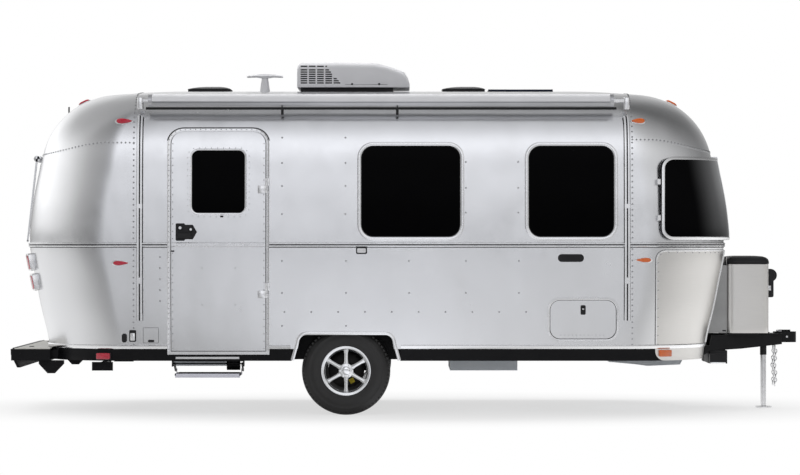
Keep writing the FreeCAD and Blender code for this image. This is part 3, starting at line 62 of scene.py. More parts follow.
class Wire:
    """One socket of a node tree. Sums and products of wires add Math nodes to the tree."""

    def __init__(self, tree, socket=None):
        self.tree, self.socket = tree, socket

    def node(self, kind, settings=None, inputs=None, out=0):
        """Add any node: its settings first, then the values or wires of its inputs."""
        made = self.tree.nodes.new(kind)
        for name, value in (settings or {}).items():
            if name == "stops":
                ramp = made.color_ramp
                while len(ramp.elements) < len(value):
                    ramp.elements.new(1.0)
                for element, (place, colour) in zip(ramp.elements, value):
                    element.position, element.color = place, (*colour, 1.0)
            else:
                setattr(made, name, value)
        for name, value in (inputs or {}).items():
            if isinstance(value, Wire):
                self.tree.links.new(value.socket, made.inputs[name])
            elif isinstance(value, tuple) and made.inputs[name].type == "RGBA":
                made.inputs[name].default_value = (*value, 1.0)
            else:
                made.inputs[name].default_value = value
        return Wire(self.tree, made.outputs[out])

    def math(self, operation, first, second):
        return self.node("ShaderNodeMath", {"operation": operation}, {0: first, 1: second})

    def __add__(self, other): return self.math("ADD", self, other)
    def __mul__(self, other): return self.math("MULTIPLY", self, other)
    def __abs__(self): return self.math("ABSOLUTE", self, 0.0)

    def ramp(self, share, stops):
        """Read a colour ramp at a share of its length."""
        return self.node("ShaderNodeValToRGB", {"stops": stops}, {0: share})

    def rise(self, value, low, high, start, stop):
        """Run smoothly from start to stop while a value runs from low to high."""
        return self.node("ShaderNodeMapRange", {"interpolation_type": "SMOOTHSTEP"},
                         {"Value": value, "From Min": low, "From Max": high, "To Min": start, "To Max": stop})

    def blend(self, share, dark, light, way="MIX"):
        return self.node("ShaderNodeMix", {"data_type": "RGBA", "blend_type": way}, {0: share, 6: dark, 7: light},
                         out=2)

    def place(self, stretch=None):
        """Where a point lies on its own piece, stretched by a scale along each axis."""
        place = self.node("ShaderNodeTexCoord", out=3)
        return self.node("ShaderNodeMapping", None, {"Vector": place, "Scale": stretch}) if stretch else place

    def noise(self, scale, detail, stretch=None, rough=0.5):
        return self.node("ShaderNodeTexNoise", None, {"Vector": self.place(stretch), "Scale": scale, "Detail": detail,
                                                      "Roughness": rough})

    def glow(self, colour):
        return self.node("ShaderNodeEmission", None, {"Color": colour, "Strength": 1.0})

    def paint(self, tone, rough, relief=None, depth=0.0, **more):
        """The layered surface itself: its tone, roughness, relief and depth, then any further inputs."""
        inputs = {name.replace("_", " "): value for name, value in more.items()}
        inputs.update({"Base Color": tone, "Roughness": rough})
        if relief:
            inputs["Normal"] = self.node("ShaderNodeBump", None, {"Height": relief, "Distance": depth})
        return self.node("ShaderNodeBsdfPrincipled", None, inputs)


def new_finish(name):
    """An empty node material; the wire it gives starts every other node of the finish."""
    material = bpy.data.materials.new(name)
    material.use_nodes = True
    material.node_tree.nodes.clear()
    return material, Wire(material.node_tree)


def coat(start, shader, kind="Material"):
    output = start.tree.nodes.new("ShaderNodeOutput" + kind)
    start.tree.links.new(shader.socket, output.inputs["Surface"])


def new_piece(name, bm, material, smooth=None):
    """Turn finished faces into one object of one finish; smooth is its sharp-edge angle in degrees."""
    mesh = bpy.data.meshes.new(name)
    bm.to_mesh(mesh)
    bm.free()
    piece = bpy.data.objects.new(name, mesh)
    bpy.context.scene.collection.objects.link(piece)
    mesh.materials.append(material)
    if smooth is not None:
        mesh.shade_smooth()
        mesh.set_sharp_from_angle(angle=math.radians(smooth))
    return piece


FLOOR_REACH, FLOOR_WHITE = 60.0, (0.82, 0.82, 0.82)
SHADOW_FAINT = 0.66                                     # how much white light washes out the shadow
MIRRORED_SHARE = 0.85                                   # how much of the floor's mirror image is its own glow
# brightness of the studio walls and of the floor round the caravan, each with its share of cool light:
# the places are shares of a turn, from the back over its rear end, its door side and its front
WALL_TURNS = ((0.0, 0.62, 0.0), (0.04, 0.78, 0.0), (0.10, 1.08, 0.0), (0.18, 1.10, 0.0), (0.26, 0.88, 0.0),
              (0.32, 0.62, 0.0), (0.37, 0.43, 0.0), (0.415, 0.34, 0.1), (0.450, 0.32, 0.4), (0.462, 0.42, 0.8),
              (0.470, 0.84, 1.0), (0.48, 1.0, 1.0), (0.506, 0.98, 1.0), (0.53, 0.78, 0.5), (0.57, 0.62, 0.1),
              (0.64, 0.50, 0.0), (0.70, 0.40, 0.0), (0.77, 0.26, 0.0), (0.84, 0.18, 0.0), (0.91, 0.24, 0.0),
              (1.0, 0.62, 0.0))
FLOOR_TURNS = ((0.0, 0.55, 0.0), (0.12, 0.95, 0.0), (0.20, 0.98, 0.0), (0.31, 0.80, 0.0), (0.36, 0.58, 0.0),
               (0.40, 0.38, 0.0), (0.443, 0.27, 0.2), (0.457, 0.58, 0.6), (0.468, 0.90, 1.0), (0.50, 0.90, 1.0),
               (0.53, 0.68, 0.5), (0.57, 0.50, 0.0), (0.62, 0.72, 0.0), (0.68, 0.98, 0.0), (0.76, 1.2, 0.0),
               (0.88, 0.95, 0.0), (1.0, 0.55, 0.0))
# the walls behind the caravan's rear end are dimmer under the ceiling
REAR_PLACES, REAR_CEILING = 0.40, 0.62
CEILING_TURNS = [(place, min(light, REAR_CEILING if place < REAR_PLACES else light), cool)
                 for place, light, cool in WALL_TURNS]
COOL = (-0.020, -0.008, 0.034)


def round_studio(way, turns):
    """Light of the studio in a direction, by its turn round the upright axis."""
    x, y = (way.node("ShaderNodeSeparateXYZ", None, {0: way}, out=axis) for axis in (0, 1))
    turn = x.math("ARCTAN2", x, y * -1.0) * (0.5 / math.pi) + 0.5
    return turn.ramp(turn,
                     [(place, tuple(light * (1.0 + share * cool) for share in COOL)) for place, light, cool in turns])


floor_paint, start = new_finish("studio_floor")
spot = start.place()
away = start.node("ShaderNodeVectorMath", {"operation": "LENGTH"}, {0: start.place((0.60, 1.0, 0.0))}, out=1)
away = start.rise(away, 1.30, 3.0, SHADOW_FAINT, 1.0)
matt = start.node("ShaderNodeBsdfDiffuse", None, {"Color": FLOOR_WHITE})
looked_at = start.node("ShaderNodeLightPath", out=0)
seen = start.node("ShaderNodeMixShader", None, {0: looked_at * away, 1: matt, 2: start.glow((1.0, 1.0, 1.0))})
reach = start.node("ShaderNodeVectorMath", {"operation": "LENGTH"}, {0: spot}, out=1)
reach = start.ramp(reach * (1.0 / FLOOR_REACH), [(place, (light,) * 3) for place, light in (
    (0.0, 1.45), (0.035, 1.40), (0.08, 1.08), (0.25, 1.05), (1.0, 1.0))])
mirrored = start.glow(start.blend(1.0, reach, round_studio(spot, FLOOR_TURNS), "MULTIPLY"))
coat(start, start.node("ShaderNodeMixShader", None, {
    0: start.node("ShaderNodeLightPath", out=3) * MIRRORED_SHARE, 1: seen, 2: mirrored}))
bm = bmesh.new()
bmesh.ops.create_grid(bm, x_segments=1, y_segments=1, size=FLOOR_REACH)
new_piece("studio_floor", bm, floor_paint)

# brightness of the studio walls by height: a grey foot, a bright strip of lamps and a dim ceiling
WALL_BANDS = ((0.0, 0.34), (0.05, 0.52), (0.10, 1.05), (0.16, 1.36), (0.26, 1.32), (0.36, 1.15), (0.45, 1.0),
              (0.60, 0.86), (0.75, 0.77), (0.90, 0.67), (1.0, 0.62))
world = bpy.data.worlds.new("studio")
bpy.context.scene.world = world
world.use_nodes = True
world.node_tree.nodes.clear()
start = Wire(world.node_tree)
way = start.node("ShaderNodeTexCoord", out=0)
height = start.node("ShaderNodeSeparateXYZ", None, {0: way}, out=2)
by_height = start.ramp(abs(height), [(place, (light,) * 3) for place, light in WALL_BANDS])
by_turn = start.blend(start.rise(height, 0.35, 0.72, 0.0, 1.0), round_studio(way, WALL_TURNS),
                      round_studio(way, CEILING_TURNS))
walls = start.blend(1.0, by_height, by_turn, "MULTIPLY")
seen = start.blend(start.node("ShaderNodeLightPath", out=0), walls, (1.0, 1.0, 1.0))
coat(start, start.node("ShaderNodeBackground", None, {"Color": seen, "Strength": 1.0}), "World")

# name, place, point it faces, width, height, power
LAMPS = (("key", (-2.0, -13.0, 9.0), (-0.4, 0.0, 1.2), 9.0, 4.0, 300.0),
         ("over", (0.0, 1.2, 7.5), (0.0, 0.6, 1.0), 12.0, 2.6, 420.0))
for name, place, target, width, tall, power in LAMPS:
    light = bpy.data.lights.new(name, "AREA")
    light.shape, light.size, light.size_y, light.energy = "RECTANGLE", width, tall, power
    lamp = bpy.data.objects.new(name, light)
    lamp.visible_glossy = False                         # metal mirrors the studio walls, not the lamps
    lamp.location = place
    lamp.rotation_euler = (Vector(target) - Vector(place)).to_track_quat("-Z", "Y").to_euler()
    bpy.context.scene.collection.objects.link(lamp)

camera_data = bpy.data.cameras.new("camera")
camera_data.lens, camera_data.sensor_width, camera_data.shift_y = 127.9, 36.0, 0.0094
camera_data.clip_end = 200.0
camera = bpy.data.objects.new("camera", camera_data)
camera.location = (-0.093, -24.5, 1.400)
camera.rotation_euler = (math.radians(90.0), 0.0, 0.0)
bpy.context.scene.collection.objects.link(camera)
bpy.context.scene.camera = camera
bpy.context.scene.view_settings.view_transform = "Standard"


# ---------------------------------------------------------------- body skin: side walls, roof and end caps
# The body is a shell of polished aluminium sheet riveted over bent ribs. Its sides are flat lengthwise
# and curve up into the roof; the two end caps are stretched over a bowed front and tight corners. Each
# wall is 45 mm thick, from the outer sheet to the lining.
BELT_HALF, CORNER, BOW = 1.219, 0.700, 5.000          # plan at the belt line
REAR_TIP, FRONT_TIP, ROOF = -3.240, 2.664, 2.714
WALL, WALL_FOOT, SKIRT_FOOT = 0.045, 0.548, 0.450
SEAM_REAR, SEAM_FRONT, ROOF_SEAM = -2.264, 1.799, 2.510
# height, and how far the side and the end stand inside the belt line there
RIBS = ((0.450, 0.027, 0.178), (0.650, 0.017, 0.150), (0.850, 0.010, 0.101), (1.130, 0.003, 0.045),
        (1.400, 0.0, 0.0), (1.600, 0.003, 0.010), (1.790, 0.008, 0.036), (2.028, 0.017, 0.084),
        (2.228, 0.029, 0.130))
SHOULDER_BASE, SHOULDER, SHOULDER_TILT, SHOULDER_INSET = 2.228, 0.470, math.radians(3.7), 0.029
END_ARC_BASE, END_ARC, END_ARC_INSET, CROWN_END = 2.028, 0.640, 0.098, 0.690
BESIDE = 1.2                                           # y of points beside a wall, before they are seated on it
SNUG = 0.0003                                          # how far above the skin the foot of a fitting is cut


def shoulder(turn):
    """Height and insets where the shoulder arc has turned by an angle."""
    height = SHOULDER_BASE + SHOULDER * (math.sin(turn) - math.sin(SHOULDER_TILT))
    side = SHOULDER_INSET + SHOULDER * (math.cos(SHOULDER_TILT) - math.cos(turn))
    fall = math.sqrt(max(END_ARC ** 2 - (height - END_ARC_BASE) ** 2, 0.0))
    return height, side, END_ARC_INSET + END_ARC - fall


def crown(share):
    """The roof's crown, a share of its rise below the top."""
    low, side, end = shoulder(math.pi / 2)
    reach = 1 - math.sqrt(share)
    return ROOF - (ROOF - low) * share, BELT_HALF - (BELT_HALF - side) * (1 - reach), end + CROWN_END * reach


def fair(rows, steps):
    """Draw a smooth batten through the rows: a natural cubic along their chord length."""
    rows = np.array(rows)
    run = np.concatenate([[0.0], np.cumsum(np.linalg.norm(np.diff(rows, axis=0), axis=1))])
    gap, count = np.diff(run), len(rows)
    matrix, right = np.eye(count), np.zeros_like(rows)
    for i in range(1, count - 1):
        matrix[i, i - 1:i + 2] = gap[i - 1], 2 * (gap[i - 1] + gap[i]), gap[i]
        right[i] = 6 * ((rows[i + 1] - rows[i]) / gap[i] - (rows[i] - rows[i - 1]) / gap[i - 1])
    bend = np.linalg.solve(matrix, right)
    places = np.linspace(0, run[-1], steps)
    cell = np.clip(np.searchsorted(run, places, side="right") - 1, 0, count - 2)
    high, low, wide = (places - run[cell])[:, None], (run[cell + 1] - places)[:, None], gap[cell][:, None]
    return ((bend[cell] * low ** 3 + bend[cell + 1] * high ** 3) / (6 * wide)
            + (rows[cell] / wide - bend[cell] * wide / 6) * low
            + (rows[cell + 1] / wide - bend[cell + 1] * wide / 6) * high)


SMOOTH_TURNS = [math.radians(turn) for turn in (17.5, 32, 45, 58, 72)]
levels = np.vstack([fair(list(RIBS) + [shoulder(turn) for turn in SMOOTH_TURNS], 700),
                    [shoulder(math.radians(turn)) for turn in np.linspace(72.5, 90, 36)],
                    [crown(share) for share in np.linspace(1, 0, 80)[1:] ** 2]])


def half_width(z):
    return BELT_HALF - np.interp(z, levels[:, 0], levels[:, 1])


def outline(z):
    """The body cut level at some heights: half width, corner and bow radii, and where they meet."""
    half, end = half_width(z), np.interp(z, levels[:, 0], levels[:, 2])
    share = np.maximum(half / BELT_HALF, 1e-4)
    corner, bow, offset = CORNER * share, BOW * share, half - CORNER * share
    reach = np.sqrt((bow - corner) ** 2 - offset ** 2)
    lean = np.arcsin(offset / (bow - corner))
    return half, corner, bow, offset, reach, lean, FRONT_TIP - end - bow + reach, REAR_TIP + end + bow - reach


def outside(points):
    """How far points stand outside the skin, measured level."""
    x, y, z = points.T
    half, corner, bow, offset, reach, lean, front, rear = outline(z)
    y = np.abs(y)
    run = np.where(x > (front + rear) / 2, x - front, rear - x)
    round_corner = np.hypot(run, y - offset) - corner
    bowed = np.hypot(run + reach, y) - bow
    turned = np.where(np.arctan2(y - offset, run) >= lean, round_corner, bowed)
    return np.where(run <= 0, y - half, turned)


def outward(points):
    """Slope of the skin at some points: unit normals, and how fast the level distance grows along them."""
    step = 0.0008
    slope = np.stack([(outside(points + step * axis) - outside(points - step * axis)) / (2 * step)
                      for axis in np.eye(3)], axis=1)
    length = np.linalg.norm(slope, axis=1, keepdims=True)
    return slope / length, length[:, 0]


def seat(points, proud=0.0):
    """Move points straight onto the skin, or a height above it, and give the normals there."""
    points = np.array(points, float)
    for turn in range(4):
        normal, length = outward(points)
        points = points - normal * (outside(points) / length)[:, None]
    normal, length = outward(points)
    return points + normal * np.reshape(proud, (-1, 1)), normal


def around(z):
    """Points round the right half of the body at a height, from the rear middle to the front middle."""
    half, corner, bow, offset, reach, lean, front, rear = (float(value[0]) for value in outline(np.array([z])))
    bowed, rounding = np.linspace(0, lean, 11), np.linspace(lean, math.pi / 2, 25)
    ring = [(rear + reach - bow * math.cos(turn), -bow * math.sin(turn), z) for turn in bowed[:-1]]
    ring += [(rear - corner * math.cos(turn), -offset - corner * math.sin(turn), z) for turn in rounding[:-1]]
    ring += [(along, -half, z) for along in np.linspace(rear, front, 75)[:-1]]
    ring += [(front + corner * math.cos(turn), -offset - corner * math.sin(turn), z) for turn in rounding[:0:-1]]
    return np.array(ring + [(front - reach + bow * math.cos(turn), -bow * math.sin(turn), z) for turn in bowed[::-1]])


def right_round(z):
    """The same line carried on round the left half of the body."""
    right = around(float(z))
    return np.vstack([right, right[1:-1][::-1] * (1, -1, 1)])


def face_rings(bm, rings, caps=True):
    """Face the bands between rings of corners in turn, and close both ends."""
    for low, high in zip(rings, rings[1:]):
        for i in range(len(low)):
            j = (i + 1) % len(low)
            bm.faces.new((low[i], low[j], high[j], high[i]))
    if caps:
        bm.faces.new(rings[0][::-1])
        bm.faces.new(rings[-1])


def loft(sections, closed=False):
    """A solid over sections of points in turn, with a cap at each end, or closed into a ring."""
    bm = bmesh.new()
    rings = [[bm.verts.new(point) for point in section] for section in sections]
    face_rings(bm, rings + rings[:1] if closed else rings, not closed)
    bmesh.ops.recalc_face_normals(bm, faces=bm.faces)
    return bm


HULL_ROWS = np.concatenate([np.linspace(SKIRT_FOOT, SHOULDER_BASE, 46),
                            [shoulder(math.radians(turn))[0] for turn in np.linspace(7, 90, 18)],
                            [crown(share)[0] for share in np.linspace(1, 0.03, 14)[1:] ** 2]])


def hull(proud=0.0, every=1):
    """The closed outer body, drawn out or in by some amount on every face."""
    bm, rows = bmesh.new(), []
    for z in HULL_ROWS[::every]:
        points = right_round(z)
        if proud:
            points = points + outward(np.clip(points, None, (9, 9, ROOF - 0.002)))[0] * proud
        rows.append([bm.verts.new(point) for point in points])
    face_rings(bm, rows, caps=False)
    count, half = len(rows[0]), len(around(1.0))
    for row, flip in ((rows[0], True), (rows[-1], False)):
        for i in range(half - 1):
            quad = list(dict.fromkeys([row[i], row[i + 1], row[(count - i - 1) % count], row[(count - i) % count]]))
            if len(quad) > 2:
                bm.faces.new(quad[::-1] if flip else quad)
    bmesh.ops.recalc_face_normals(bm, faces=bm.faces)
    return bm


def block(low, high):
    """A plain block between two corners, as a cutting tool."""
    bm = bmesh.new()
    bmesh.ops.create_cube(bm, size=1.0)
    low, high = Vector(low), Vector(high)
    for vert in bm.verts:
        vert.co = (low + high) / 2 + vert.co * (high - low)
    return bm


def prism(points, low, high):
    """A closed outline in the xz plane pushed from one y to another."""
    return loft([[(x, y, z) for x, z in points] for y in (low, high)])


def rounded(low_a, high_a, low_b, high_b, radius, steps=8):
    """A rectangle with round corners, counter-clockwise from its lower right corner."""
    points = []
    for number, (a, b) in enumerate(((high_a - radius, low_b + radius), (high_a - radius, high_b - radius),
                                     (low_a + radius, high_b - radius), (low_a + radius, low_b + radius))):
        for turn in np.linspace((number - 1) * math.pi / 2, number * math.pi / 2, steps + 1):
            points.append((a + radius * math.cos(turn), b + radius * math.sin(turn)))
    return points


def linked(name, mesh):
    thing = bpy.data.objects.new(name, mesh)
    bpy.context.scene.collection.objects.link(thing)
    return thing


def loose(bm):
    mesh = bpy.data.meshes.new("loose")
    bm.to_mesh(mesh)
    bm.free()
    return linked("loose", mesh)


def evaluated(thing):
    """The mesh that a thing's modifiers make; they are taken off again."""
    result = bpy.data.meshes.new_from_object(thing.evaluated_get(bpy.context.evaluated_depsgraph_get()))
    thing.modifiers.clear()
    return result


def cut(base, *steps):
    """Join, cross or cut a solid with others in turn; each step is an operation and a solid."""
    thing = base if isinstance(base, bpy.types.Object) else loose(base)
    for operation, tool in steps:
        tool = tool if isinstance(tool, bpy.types.Object) else loose(tool)
        modifier = thing.modifiers.new("cut", "BOOLEAN")
        modifier.operation, modifier.solver, modifier.object = operation, "MANIFOLD", tool
        result = evaluated(thing)
        for used in (thing, tool):
            if used.name.startswith("loose"):
                bpy.data.objects.remove(used)
        thing = linked("loose", result)
    return thing


def shell(outer, inner, *steps):
    """The layer between two heights over the skin; the steps shape it before the inner face is cut."""
    return cut(hull(outer), *steps, ("DIFFERENCE", hull(inner)))


def named(thing, name, material, smooth=None):
    """Give a cut solid its name, its one finish and the angle of its sharp edges."""
    thing.name = thing.data.name = name
    thing.data.materials.clear()
    thing.data.materials.append(material)
    if smooth is not None:
        thing.data.shade_smooth()
        thing.data.set_sharp_from_angle(angle=math.radians(smooth))
    return thing


def follow_skin(thing, name, material):
    """Name a cut shell and take the shading of its faces from the true curve of the skin."""
    mesh = named(thing, name, material).data
    mesh.shade_smooth()

    def read(things, field, width, kind=float):
        values = np.zeros(len(things) * width, kind)
        things.foreach_get(field, values)
        return values.reshape(-1, width)

    corners = read(mesh.loops, "vertex_index", 1, int)[:, 0]
    sizes = read(mesh.polygons, "loop_total", 1, int)[:, 0]
    flat = np.repeat(read(mesh.polygons, "normal", 3), sizes, axis=0)
    curve = outward(np.minimum(read(mesh.vertices, "co", 3)[corners], (9, 9, ROOF - 0.003)))[0]
    along = (flat * curve).sum(axis=1)[:, None]
    mesh.normals_split_custom_set(np.where(abs(along) > 0.93, curve * np.sign(along), flat))
    return thing


def moulding(paths, section, closed=False):
    """Sweep a section of (across, height) points along paths on the skin, so that it hugs the curve."""
    bm = bmesh.new()
    for path in paths:
        path, normal = seat(path)
        tangent = np.roll(path, -1, axis=0) - np.roll(path, 1, axis=0)
        if not closed:
            tangent[0], tangent[-1] = path[1] - path[0], path[-1] - path[-2]
        across = np.cross(tangent, normal)
        across /= np.linalg.norm(across, axis=1, keepdims=True)
        lines = []
        for shift, height in section:
            points, normals = seat(path + across * shift)
            lines.append([bm.verts.new(point) for point in points + normals * height])
        rings = list(zip(*lines))
        face_rings(bm, rings + rings[:1] if closed else rings, not closed)
    bmesh.ops.recalc_face_normals(bm, faces=bm.faces)
    return bm


def dense(path, gap):
    """Split the runs of a path so that no two points are further apart than a gap."""
    result = []
    for start, stop in zip(path, path[1:]):
        start, stop = np.array(start, float), np.array(stop, float)
        count = max(1, math.ceil(np.linalg.norm(stop - start) / gap))
        result += [tuple(start + (stop - start) * i / count) for i in range(count)]
    return result + [tuple(path[-1])]


def side_path(points, side=-1, gap=0.05):
    """A line of (x, z) points laid on the skin of one side."""
    return np.array([(x, side * BESIDE, z) for x, z in dense(points, gap)])


def settle(piece, body, slot, *stands_for):
    """Hang a piece on the body that carries it and hide the CAD nodes it stands for; slot is not used."""
    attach(piece, body), piece
    for node in stands_for:
        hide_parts(node)
    return piece


def add(name, bm, material, smooth, body, slot, *stands_for):
    return settle(new_piece(name, bm, material, smooth), body, slot, *stands_for)


# the polished sheet: bright metal with a rolled grain, faint waves between the ribs and hand marks
polished_skin, start = new_finish("polished_skin")
grain, wave = start.noise(3.0, 3.0, (6.0, 6.0, 260.0)), start.noise(1.4, 1.5, (1.5, 1.5, 0.75))
marks, cloud = start.noise(9.0, 5.0, rough=0.6), start.noise(1.1, 3.0)
tone = start.blend(cloud * 0.8 + marks * 0.25, (0.74, 0.745, 0.76), (0.86, 0.865, 0.88))
coat(start, start.paint(tone, marks * 0.12 + cloud * 0.08 + 0.14, wave * 1.0 + grain * 0.004 + marks * 0.01, 0.012,
                        Metallic=1.0))

WINDOW_HOLES = ((-0.417, 0.407), (0.956, 1.667))       # of each side wall, rear and front edges
WINDOW_FOOT, WINDOW_HEAD, WINDOW_CORNER = 1.461, 2.220, 0.105
SIDE_WINDOWS = [(rear, front, WINDOW_FOOT, WINDOW_HEAD, WINDOW_CORNER) for rear, front in WINDOW_HOLES]
END_WINDOW = (-0.520, 0.520, 1.490, 2.075, 0.060)
WING_WINDOW = (2.095, 2.470, 1.490, 2.075, 0.060)
DOOR = (-1.968, -1.196, 0.532, 2.334, 0.105)
HATCH = (1.139, 1.676, 0.633, 0.946, 0.080)
ARCH_MIDDLE, ARCH_FOOT_HALF, ARCH_HEAD_HALF, ARCH_HEAD, ARCH_CORNER = -0.537, 0.426, 0.385, 0.664, 0.065
GAP = 0.005
INNER, OUTER = 0.3, 1.4                                # how far from the middle the walls' cutters reach
WING_INNER = 0.64
REAR_END, FRONT_END = (-3.5, -2.6), (2.1, 3.0)         # reach of the cutters of the end windows


def grown(shape, by):
    return shape[0] - by, shape[1] + by, shape[2] - by, shape[3] + by, shape[4] + by


def reach_of(side, inner, outer=OUTER):
    """The two y values of a cutter on one side, the lower one first."""
    return sorted((inner * side, outer * side))


def doorway(by=0.0):
    """The door's outline: round corners above, square ones below."""
    points = rounded(*grown(DOOR, by))
    return [(DOOR[1] + by, DOOR[2] - by)] + points[9:27] + [(DOOR[0] - by, DOOR[2] - by)]


def arch(by=0.0, foot=SKIRT_FOOT - 0.05):
    """Side view of a wheel arch: sides that lean in to a flat head with round corners."""
    low, high, head, radius = ARCH_FOOT_HALF + by, ARCH_HEAD_HALF + by, ARCH_HEAD + by, ARCH_CORNER + by
    front = [(high - radius + radius * math.cos(turn), head - radius + radius * math.sin(turn))
             for turn in np.linspace(0, math.pi / 2, 9)]
    half = [(low, foot)] + front
    return [(ARCH_MIDDLE + x, z) for x, z in half + [(-x, z) for x, z in half[::-1]]]


def across_prism(shape, low, high):
    """A rounded prism turned to run along x, through an end of the body."""
    bm = prism(rounded(*shape), low, high)
    for vert in bm.verts:
        vert.co = (vert.co.y, vert.co.x, vert.co.z)
    bmesh.ops.recalc_face_normals(bm, faces=bm.faces)
    return bm


whole = cut(hull(), ("DIFFERENCE", hull(-WALL, 2)))
whole.name = "whole_shell"
for side, name in ((-1, "side_wall_right"), (1, "side_wall_left")):
    low, high = reach_of(side, INNER)
    holes = [rounded(*shape) for shape in SIDE_WINDOWS] + [arch()]
    if side < 0:
        holes += [doorway(GAP), rounded(*grown(HATCH, GAP))]
    wall = cut(whole, ("INTERSECT", block((SEAM_REAR, low, WALL_FOOT), (SEAM_FRONT, high, ROOF_SEAM))),
               *[("DIFFERENCE", prism(hole, low, high)) for hole in holes])
    settle(follow_skin(wall, name + "_sheet", polished_skin), "trailer", "polished_skin", name)
roof = cut(whole, ("INTERSECT", block((SEAM_REAR, -OUTER, ROOF_SEAM), (SEAM_FRONT, OUTER, 3.0))))
settle(follow_skin(roof, "roof_sheet", polished_skin), "trailer", "polished_skin", "roof_panel")
for name, low, high, window in (("end_cap_rear", -4.0, SEAM_REAR, REAR_END),
                                ("end_cap_front", SEAM_FRONT, 4.0, FRONT_END)):
    holes = [across_prism(END_WINDOW, *window)]
    if window is FRONT_END:
        holes += [prism(rounded(*WING_WINDOW), *reach_of(side, WING_INNER)) for side in (-1, 1)]
    cap = cut(whole, ("INTERSECT", block((low, -OUTER, WALL_FOOT), (high, OUTER, 3.0))),
              *[("DIFFERENCE", hole) for hole in holes])
    settle(follow_skin(cap, name + "_sheet", polished_skin), "trailer", "polished_skin", name)
bpy.data.objects.remove(whole)

# ---------------------------------------------------------------- laps and rivets of the skin
# The sheets overlap by 25 mm at each seam and are pulled down on the ribs with round-headed aluminium
# rivets: close ones along the seams and sparse ones down each rib.


def new_tree(name, **kinds):
    """A geometry tree with geometry and some named inputs going in; gives their wires by name."""
    tree = bpy.data.node_groups.new(name, "GeometryNodeTree")
    for label, kind in (("Geometry", "Geometry"), *kinds.items()):
        tree.interface.new_socket(label.replace("_", " "), in_out="INPUT", socket_type="NodeSocket" + kind)
    tree.interface.new_socket("Geometry", in_out="OUTPUT", socket_type="NodeSocketGeometry")
    return tree, {socket.name: Wire(tree, socket) for socket in tree.nodes.new("NodeGroupInput").outputs}


def repeat_shape(given, spots, shape, turn):
    """End a geometry tree: set a shape on spots, each with its turn, make the copies real and coat them."""
    heads = shape.node("GeometryNodeInstanceOnPoints", None, {"Points": spots, "Instance": shape, "Rotation": turn})
    solid = shape.node("GeometryNodeRealizeInstances", None, {0: heads})
    coated = shape.node("GeometryNodeSetMaterial", None, {"Geometry": solid, "Material": given["Finish"]})
    shape.tree.links.new(coated.socket, shape.tree.nodes.new("NodeGroupOutput").inputs[0])


def run_tree(tree, piece, *values):
    """Run a geometry tree on a piece, with the values of its named inputs in order."""
    modifier = piece.modifiers.new("repeat", "NODES")
    modifier.node_group = tree
    named_inputs = [item for item in tree.interface.items_tree if item.in_out == "INPUT"][1:]
    for item, value in zip(named_inputs, values):
        modifier[item.identifier] = value
    return evaluated(piece)


def repeated(tree, name, spots, attribute, vectors, smooth, *values):
    """Run a tree on spots that each carry one vector, and keep what it makes as a piece."""
    mesh = bpy.data.meshes.new(name)
    mesh.from_pydata([tuple(map(float, spot)) for spot in spots], [], [])
    carried = mesh.attributes.new(attribute, "FLOAT_VECTOR", "POINT")
    carried.data.foreach_set("vector", np.array(vectors, np.float32).ravel())
    piece = linked(name, mesh)
    piece.data = run_tree(tree, piece, *values)
    piece.data.shade_smooth()
    piece.data.set_sharp_from_angle(angle=math.radians(smooth))
    return piece


RIVET_TREE, given = new_tree("rivet_heads", Head_Radius="Float", Head_Height="Float", Finish="Material")
radius, spots = given["Head Radius"], given["Geometry"]
head = radius.node("GeometryNodeMeshCone", {"fill_type": "NGON"}, {
    "Vertices": 8, "Radius Bottom": radius, "Radius Top": radius * 0.52, "Depth": given["Head Height"]})
aim = radius.node("GeometryNodeInputNamedAttribute", {"data_type": "FLOAT_VECTOR"}, {"Name": "aim"}, "Attribute")
turn = radius.node("FunctionNodeAlignRotationToVector", {"axis": "Z"}, {"Vector": aim})
repeat_shape(given, radius.node("GeometryNodeMeshToPoints", {"mode": "VERTICES"}, {"Mesh": spots}), head, turn)


def rivets(name, points, normals, size, body, slot, material=None):
    """Set a rivet head of some radius and height on each point, facing its normal."""
    return settle(repeated(RIVET_TREE, name, points, "aim", normals, 70, *size, material or rivet_metal), body, slot)


def stepped(path, pitch):
    """Points at an even pitch along a path of points."""
    path = np.array(path, float)
    run = np.concatenate([[0.0], np.cumsum(np.linalg.norm(np.diff(path, axis=0), axis=1))])
    places = np.linspace(0, run[-1], max(2, round(run[-1] / pitch) + 1))
    return np.stack([np.interp(places, run, path[:, axis]) for axis in range(3)], axis=1)


def beside(path, shift, pitch, height):
    """Points at an even pitch beside a path on the skin, some height above it, and the normals there."""
    middle, normal = seat(path)
    across = np.cross(np.gradient(middle, axis=0), normal)
    across /= np.linalg.norm(across, axis=1, keepdims=True)
    return seat(stepped(middle + across * shift, pitch), height)


def arc_over(x, foot=WALL_FOOT + 0.034):
    """From the foot of the right wall over the roof to the foot of the left one, in a plane across the body."""
    half = [(x, -float(half_width(z)), z)
            for z in np.concatenate([np.linspace(foot, 2.2, 34), HULL_ROWS[HULL_ROWS > 2.22]])]
    return np.array(half + [(x, -y, z) for x, y, z in half[::-1]])


def merge(*parts):
    """Join several loose parts into one set of faces."""
    whole = parts[0]
    for part in parts[1:]:
        mesh = bpy.data.meshes.new("part")
        part.to_mesh(mesh)
        part.free()
        whole.from_mesh(mesh)
        bpy.data.meshes.remove(mesh)
    return whole


def mottled(name, film, dark, light, rough, relief=None, depth=0.0, **more):
    """A finish of two tones mixed by one noise; its roughness follows the same noise, by a share and a base.
    A noise is its scale and detail, then perhaps its stretch and its own roughness."""
    material, start = new_finish(name)
    film = start.noise(*film)
    coat(start, start.paint(start.blend(film, dark, light), film * rough[0] + rough[1],
                            relief and start.noise(*relief), depth, **more))
    return material


